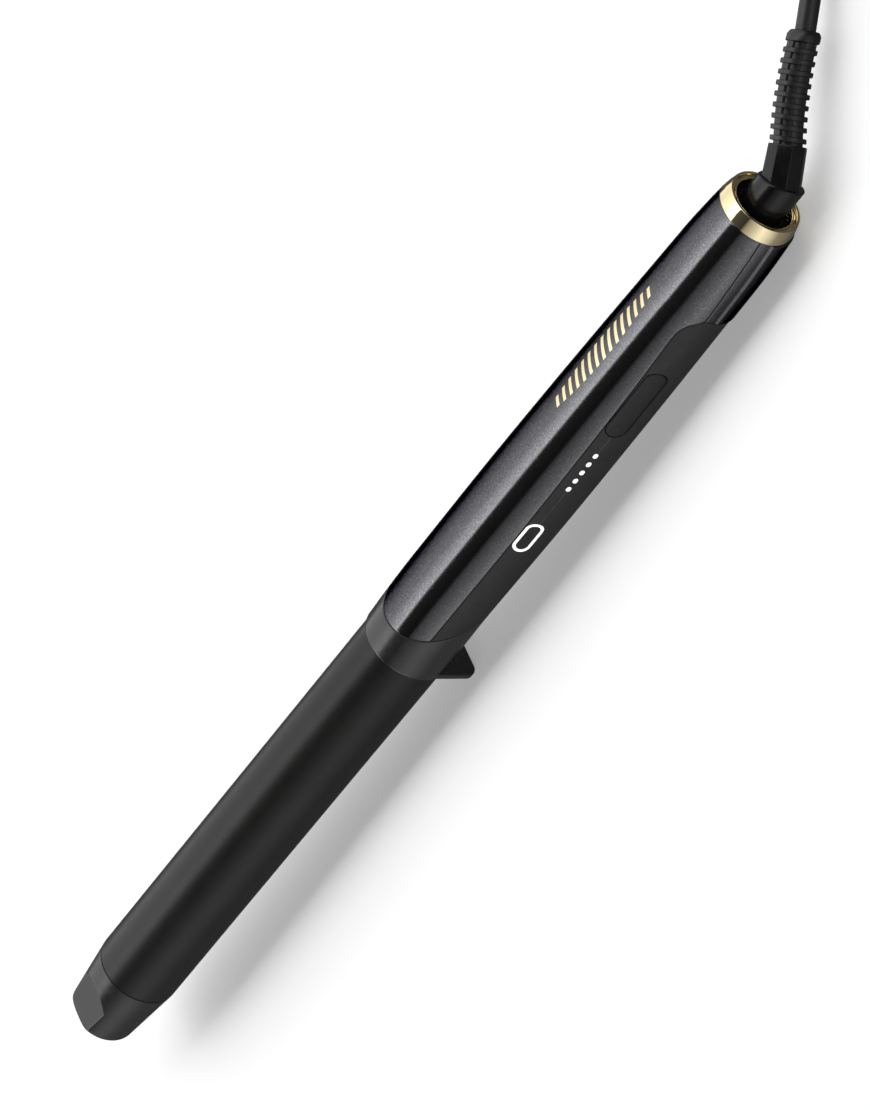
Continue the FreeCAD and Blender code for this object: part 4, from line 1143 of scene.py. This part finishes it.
def build_socket():
    """The black socket that the swivel turns in, with fins round its mouth."""
    bush = lathe([(-206.3, 7.02, 0.1), (-190.0, 7.02), (-190.0, 10.4), (-198.8, 10.4), (-198.8, 8.85),
                  (-205.4, 8.85, 0.1), (-205.6, 7.9, 0.1), (-206.3, 7.7, 0.15)], 128, RISE)
    outline = [(-205.2, 7.6, 0.3), (-206.9, 7.6, 0.22), (-207.05, 7.9, 0.2), (-206.9, 8.75, 0.22),
               (-205.2, 8.85, 0.3)]
    fins = []
    for number in range(FIN_COUNT):
        spin = FULL_TURN * number / FIN_COUNT
        sides = [[(x, radius * math.sin(spin + sign * wide / radius),
                   RISE + radius * math.cos(spin + sign * wide / radius)) for x, radius, wide in outline]
                 for sign in (1, -1)]
        fins.append(prism(*sides))
    settle(make("swivel_socket_mouth", joined(bush, *fins), "swivel_plastic"), "wand", "swivel_socket")


ELBOW = Vector((-217.5, 0.0, RISE))
RELIEF_AXIS = Vector((-0.7071, -0.7018, -0.0862)).normalized()
STUB_AXIS = Vector((-1, 0, 0))
BEND_NORMAL = RELIEF_AXIS.cross(STUB_AXIS).normalized()
MITRE = (RELIEF_AXIS + STUB_AXIS).normalized()
STUB_RADIUS = 6.9
BLOCK_LENGTH = 10.4
BLOCK_WIDTH = 10.5
ARM_FILLET = 0.45


def eight_sided(width):
    """A regular octagon as (outside, sideways) points with rounded corners."""
    half = width / 2
    cut_at = half * (math.sqrt(2) - 1)
    corners = [(half, cut_at), (cut_at, half), (-cut_at, half), (-half, cut_at),
               (-half, -cut_at), (-cut_at, -half), (cut_at, -half), (half, -cut_at)]
    return softened([(*corner, ARM_FILLET) for corner in corners], True, 4)


def laid_across(centre, axis, outline):
    """Points of an outline across an axis, its first coordinate towards the bend's outside."""
    outward = axis.cross(BEND_NORMAL).normalized()
    return [tuple(centre + outward * first + BEND_NORMAL * second) for first, second in outline]


def build_elbow():
    """The swivel's round stub, cut off slantwise, and the eight-sided arm that leaves the cut."""
    circle = [(STUB_RADIUS * math.cos(spin), STUB_RADIUS * math.sin(spin))
              for spin in np.linspace(0, FULL_TURN, 96, endpoint=False)]
    loops = [laid_across(Vector((-x, 0, RISE)), STUB_AXIS, circle) for x in (188.0, 199.0, 206.0)]
    for inset, back in ((0.0, 0.9), (0.0, 0.55), (0.06, 0.3), (0.2, 0.1), (0.45, 0.0), (3.0, 0.0)):
        scale = 1 - inset / STUB_RADIUS
        smaller = [(first * scale, second * scale) for first, second in circle]
        loop = []
        for point in laid_across(ELBOW, STUB_AXIS, smaller):
            spot = Vector(point)
            reach = -(spot - ELBOW).dot(MITRE) / STUB_AXIS.dot(MITRE)
            loop.append(tuple(spot + STUB_AXIS * (reach - back)))
        loops.append(loop)
    body = make("swivel_arm", loft(loops), "swivel_plastic")
    arm = []
    for along, width, shift in ((-2.6, 11.3, 0.5), (2.0, 11.1, 0.35), (5.0, 10.9, 0.2),
                                (BLOCK_LENGTH - 0.3, 10.55, 0), (BLOCK_LENGTH - 0.08, BLOCK_WIDTH - 0.1, 0),
                                (BLOCK_LENGTH, BLOCK_WIDTH - 0.5, 0)):
        outline = [(first + shift, second) for first, second in eight_sided(width)]
        arm.append(laid_across(ELBOW + RELIEF_AXIS * along, RELIEF_AXIS, outline))
    tool = make("swivel_arm_tool", loft(arm), "swivel_plastic")
    carve(body, [tool], "UNION")
    settle(body, "cord_swivel", "swivel_elbow", angle=30)


RIBS = 9
RIB_PITCH = 3.12
RIB_THICK = 1.5
RELIEF_BOW = 1.0
RELIEF_CORE = 3.6
RELIEF_CAP = 3.5


def build_relief():
    """The strain relief: ribs on a core, tied by rails on four sides, and a cap round the cord.

    Each station along it is (place, radius, whether the rails show).
    """
    stations = [(BLOCK_LENGTH - 0.3, 3.7, 1)]
    for number in range(RIBS):
        near = BLOCK_LENGTH + 0.9 + RIB_PITCH * number
        wide = 5.25 - 0.35 * number / (RIBS - 1)
        stations += [(near, RELIEF_CORE, 1), (near + 0.02, wide - 0.2, 0), (near + 0.2, wide, 0),
                     (near + RIB_THICK - 0.2, wide, 0), (near + RIB_THICK - 0.02, wide - 0.2, 0),
                     (near + RIB_THICK, RELIEF_CORE, 1)]
    cap_at = BLOCK_LENGTH + 0.9 + RIB_PITCH * RIBS
    total = cap_at + RELIEF_CAP
    stations += [(cap_at, RELIEF_CORE, 1), (cap_at + 0.03, 4.5, 0), (cap_at + 0.3, 4.9, 0),
                 (cap_at + 2.2, 4.85, 0), (cap_at + 3.1, 4.3, 0), (cap_at + 3.4, 3.9, 0), (total, 3.1, 0)]
    loops = []
    for along, radius, railed in stations:
        part = (along - BLOCK_LENGTH) / (total - BLOCK_LENGTH)
        bow = -CAMERA_RIGHT * RELIEF_BOW * 4 * part * (1 - part)
        outline = []
        for angle in np.linspace(0, FULL_TURN, 160, endpoint=False):
            reach = radius
            if railed:
                off = abs((angle + math.pi / 4) % (math.pi / 2) - math.pi / 4) * 4.3
                reach += 0.85 * max(0.0, min(1.0, (1.7 - off) / 0.3))
            outline.append((reach * math.cos(angle), reach * math.sin(angle)))
        loops.append(laid_across(ELBOW + RELIEF_AXIS * along + bow, RELIEF_AXIS, outline))
    sleeve = make("strain_relief_sleeve", loft(loops), "swivel_plastic", WAND, "cord_rubber")
    settle(sleeve, "cord_swivel", "strain_relief", angle=40)


build_barrel()
build_tip()
build_collar()
build_upper_shell()
build_grip()
build_rear_shell()
build_controls()
build_ornament()
build_end_ring()
build_socket()
build_elbow()
build_relief()

# ---------------------------------------------------------------- carried-over nodes

slots = {part["node"]: part["material_slot"] for part in frame["record"]["subparts"]}
for node_name, node_object in frame["nodes"].items():
    if not node_object.hide_render:
        node_object.data.materials.clear()
        node_object.data.materials.append(MATERIALS[slots[node_name]].material)

# ---------------------------------------------------------------- floor and light

FLOOR_HALF = 6.0
FLOOR_DROP = 0.0004

floor_mesh = bpy.data.meshes.new("floor")
floor_corners = [(x * FLOOR_HALF, y * FLOOR_HALF, 0) for x, y in ((-1, -1), (1, -1), (1, 1), (-1, 1))]
floor_mesh.from_pydata(floor_corners, [], [(0, 1, 2, 3)])
floor = bpy.data.objects.new("floor", floor_mesh)
floor.location.z = -FLOOR_DROP
bpy.context.scene.collection.objects.link(floor)
floor_shade = Shade("floor_paint", Roughness=0.85, Specular_IOR_Level=0.2, Emission_Strength=0.22,
                    Emission_Color=(1.0, 1.0, 1.0, 1.0))
floor_shade.colour(floor_shade.ramp(floor_shade.noise(3.0, 2.0), [
    (0.3, (0.86, 0.86, 0.86)), (0.7, (0.88, 0.88, 0.88))]))
floor_mesh.materials.append(floor_shade.material)
floor.visible_glossy = False


STUDIO_STRENGTH = 4.6
STUDIO_LIGHT = (
    (-180, 0.02), (-98, 0.02), (-94, 0.26), (-70, 0.23), (-35, 0.31), (-12, 0.60), (-5, 0.72), (-1, 0.02),
    (31, 0.008), (38, 0.07), (60, 0.15), (80, 0.25), (95, 0.20), (125, 0.06), (180, 0.02))
BACKDROP = 0.93


def studio():
    """Two broad soft boxes over the wand with a dark gap between them, as a painted surrounding.

    STUDIO_LIGHT gives their brightness by the angle in degrees round the wand's axis, from straight up
    towards the controls.  The camera itself sees a plain pale backdrop.
    """
    world = bpy.data.worlds.new("studio")
    bpy.context.scene.world = world
    world.use_nodes = True
    tree = Tree(world.node_tree)
    world.node_tree.nodes.clear()
    place = tree.add("ShaderNodeTexCoord").outputs["Generated"]

    def dotted(axis):
        item = tree.add("ShaderNodeVectorMath", operation="DOT_PRODUCT")
        tree.join(place, item.inputs[0])
        item.inputs[1].default_value = axis
        return item.outputs["Value"]

    spin = tree.add("ShaderNodeMath", operation="ARCTAN2")
    tree.join(dotted(WAND.to_3x3() @ Vector((0, 1, 0))), spin.inputs[0])
    tree.join(dotted(WAND.to_3x3() @ Vector((0, 0, 1))), spin.inputs[1])
    turned = tree.spread(spin.outputs["Value"], 0.0, 1.0, -math.pi, math.pi)
    stops = [((degrees + 180) / 360, (light, light, light)) for degrees, light in STUDIO_LIGHT]
    lit = tree.add("ShaderNodeBackground")
    lit.inputs["Strength"].default_value = STUDIO_STRENGTH
    tree.join(tree.ramp(turned, stops), lit.inputs["Color"])
    plain = tree.add("ShaderNodeBackground")
    plain.inputs["Color"].default_value = (BACKDROP, BACKDROP, BACKDROP, 1.0)
    seen = tree.add("ShaderNodeLightPath")
    mix = tree.add("ShaderNodeMixShader")
    tree.join(seen.outputs["Is Camera Ray"], mix.inputs["Fac"])
    tree.join(lit.outputs["Background"], mix.inputs[1])
    tree.join(plain.outputs["Background"], mix.inputs[2])
    out = tree.add("ShaderNodeOutputWorld")
    tree.join(mix.outputs["Shader"], out.inputs["Surface"])


studio()
bpy.context.scene.view_settings.view_transform = "Standard"
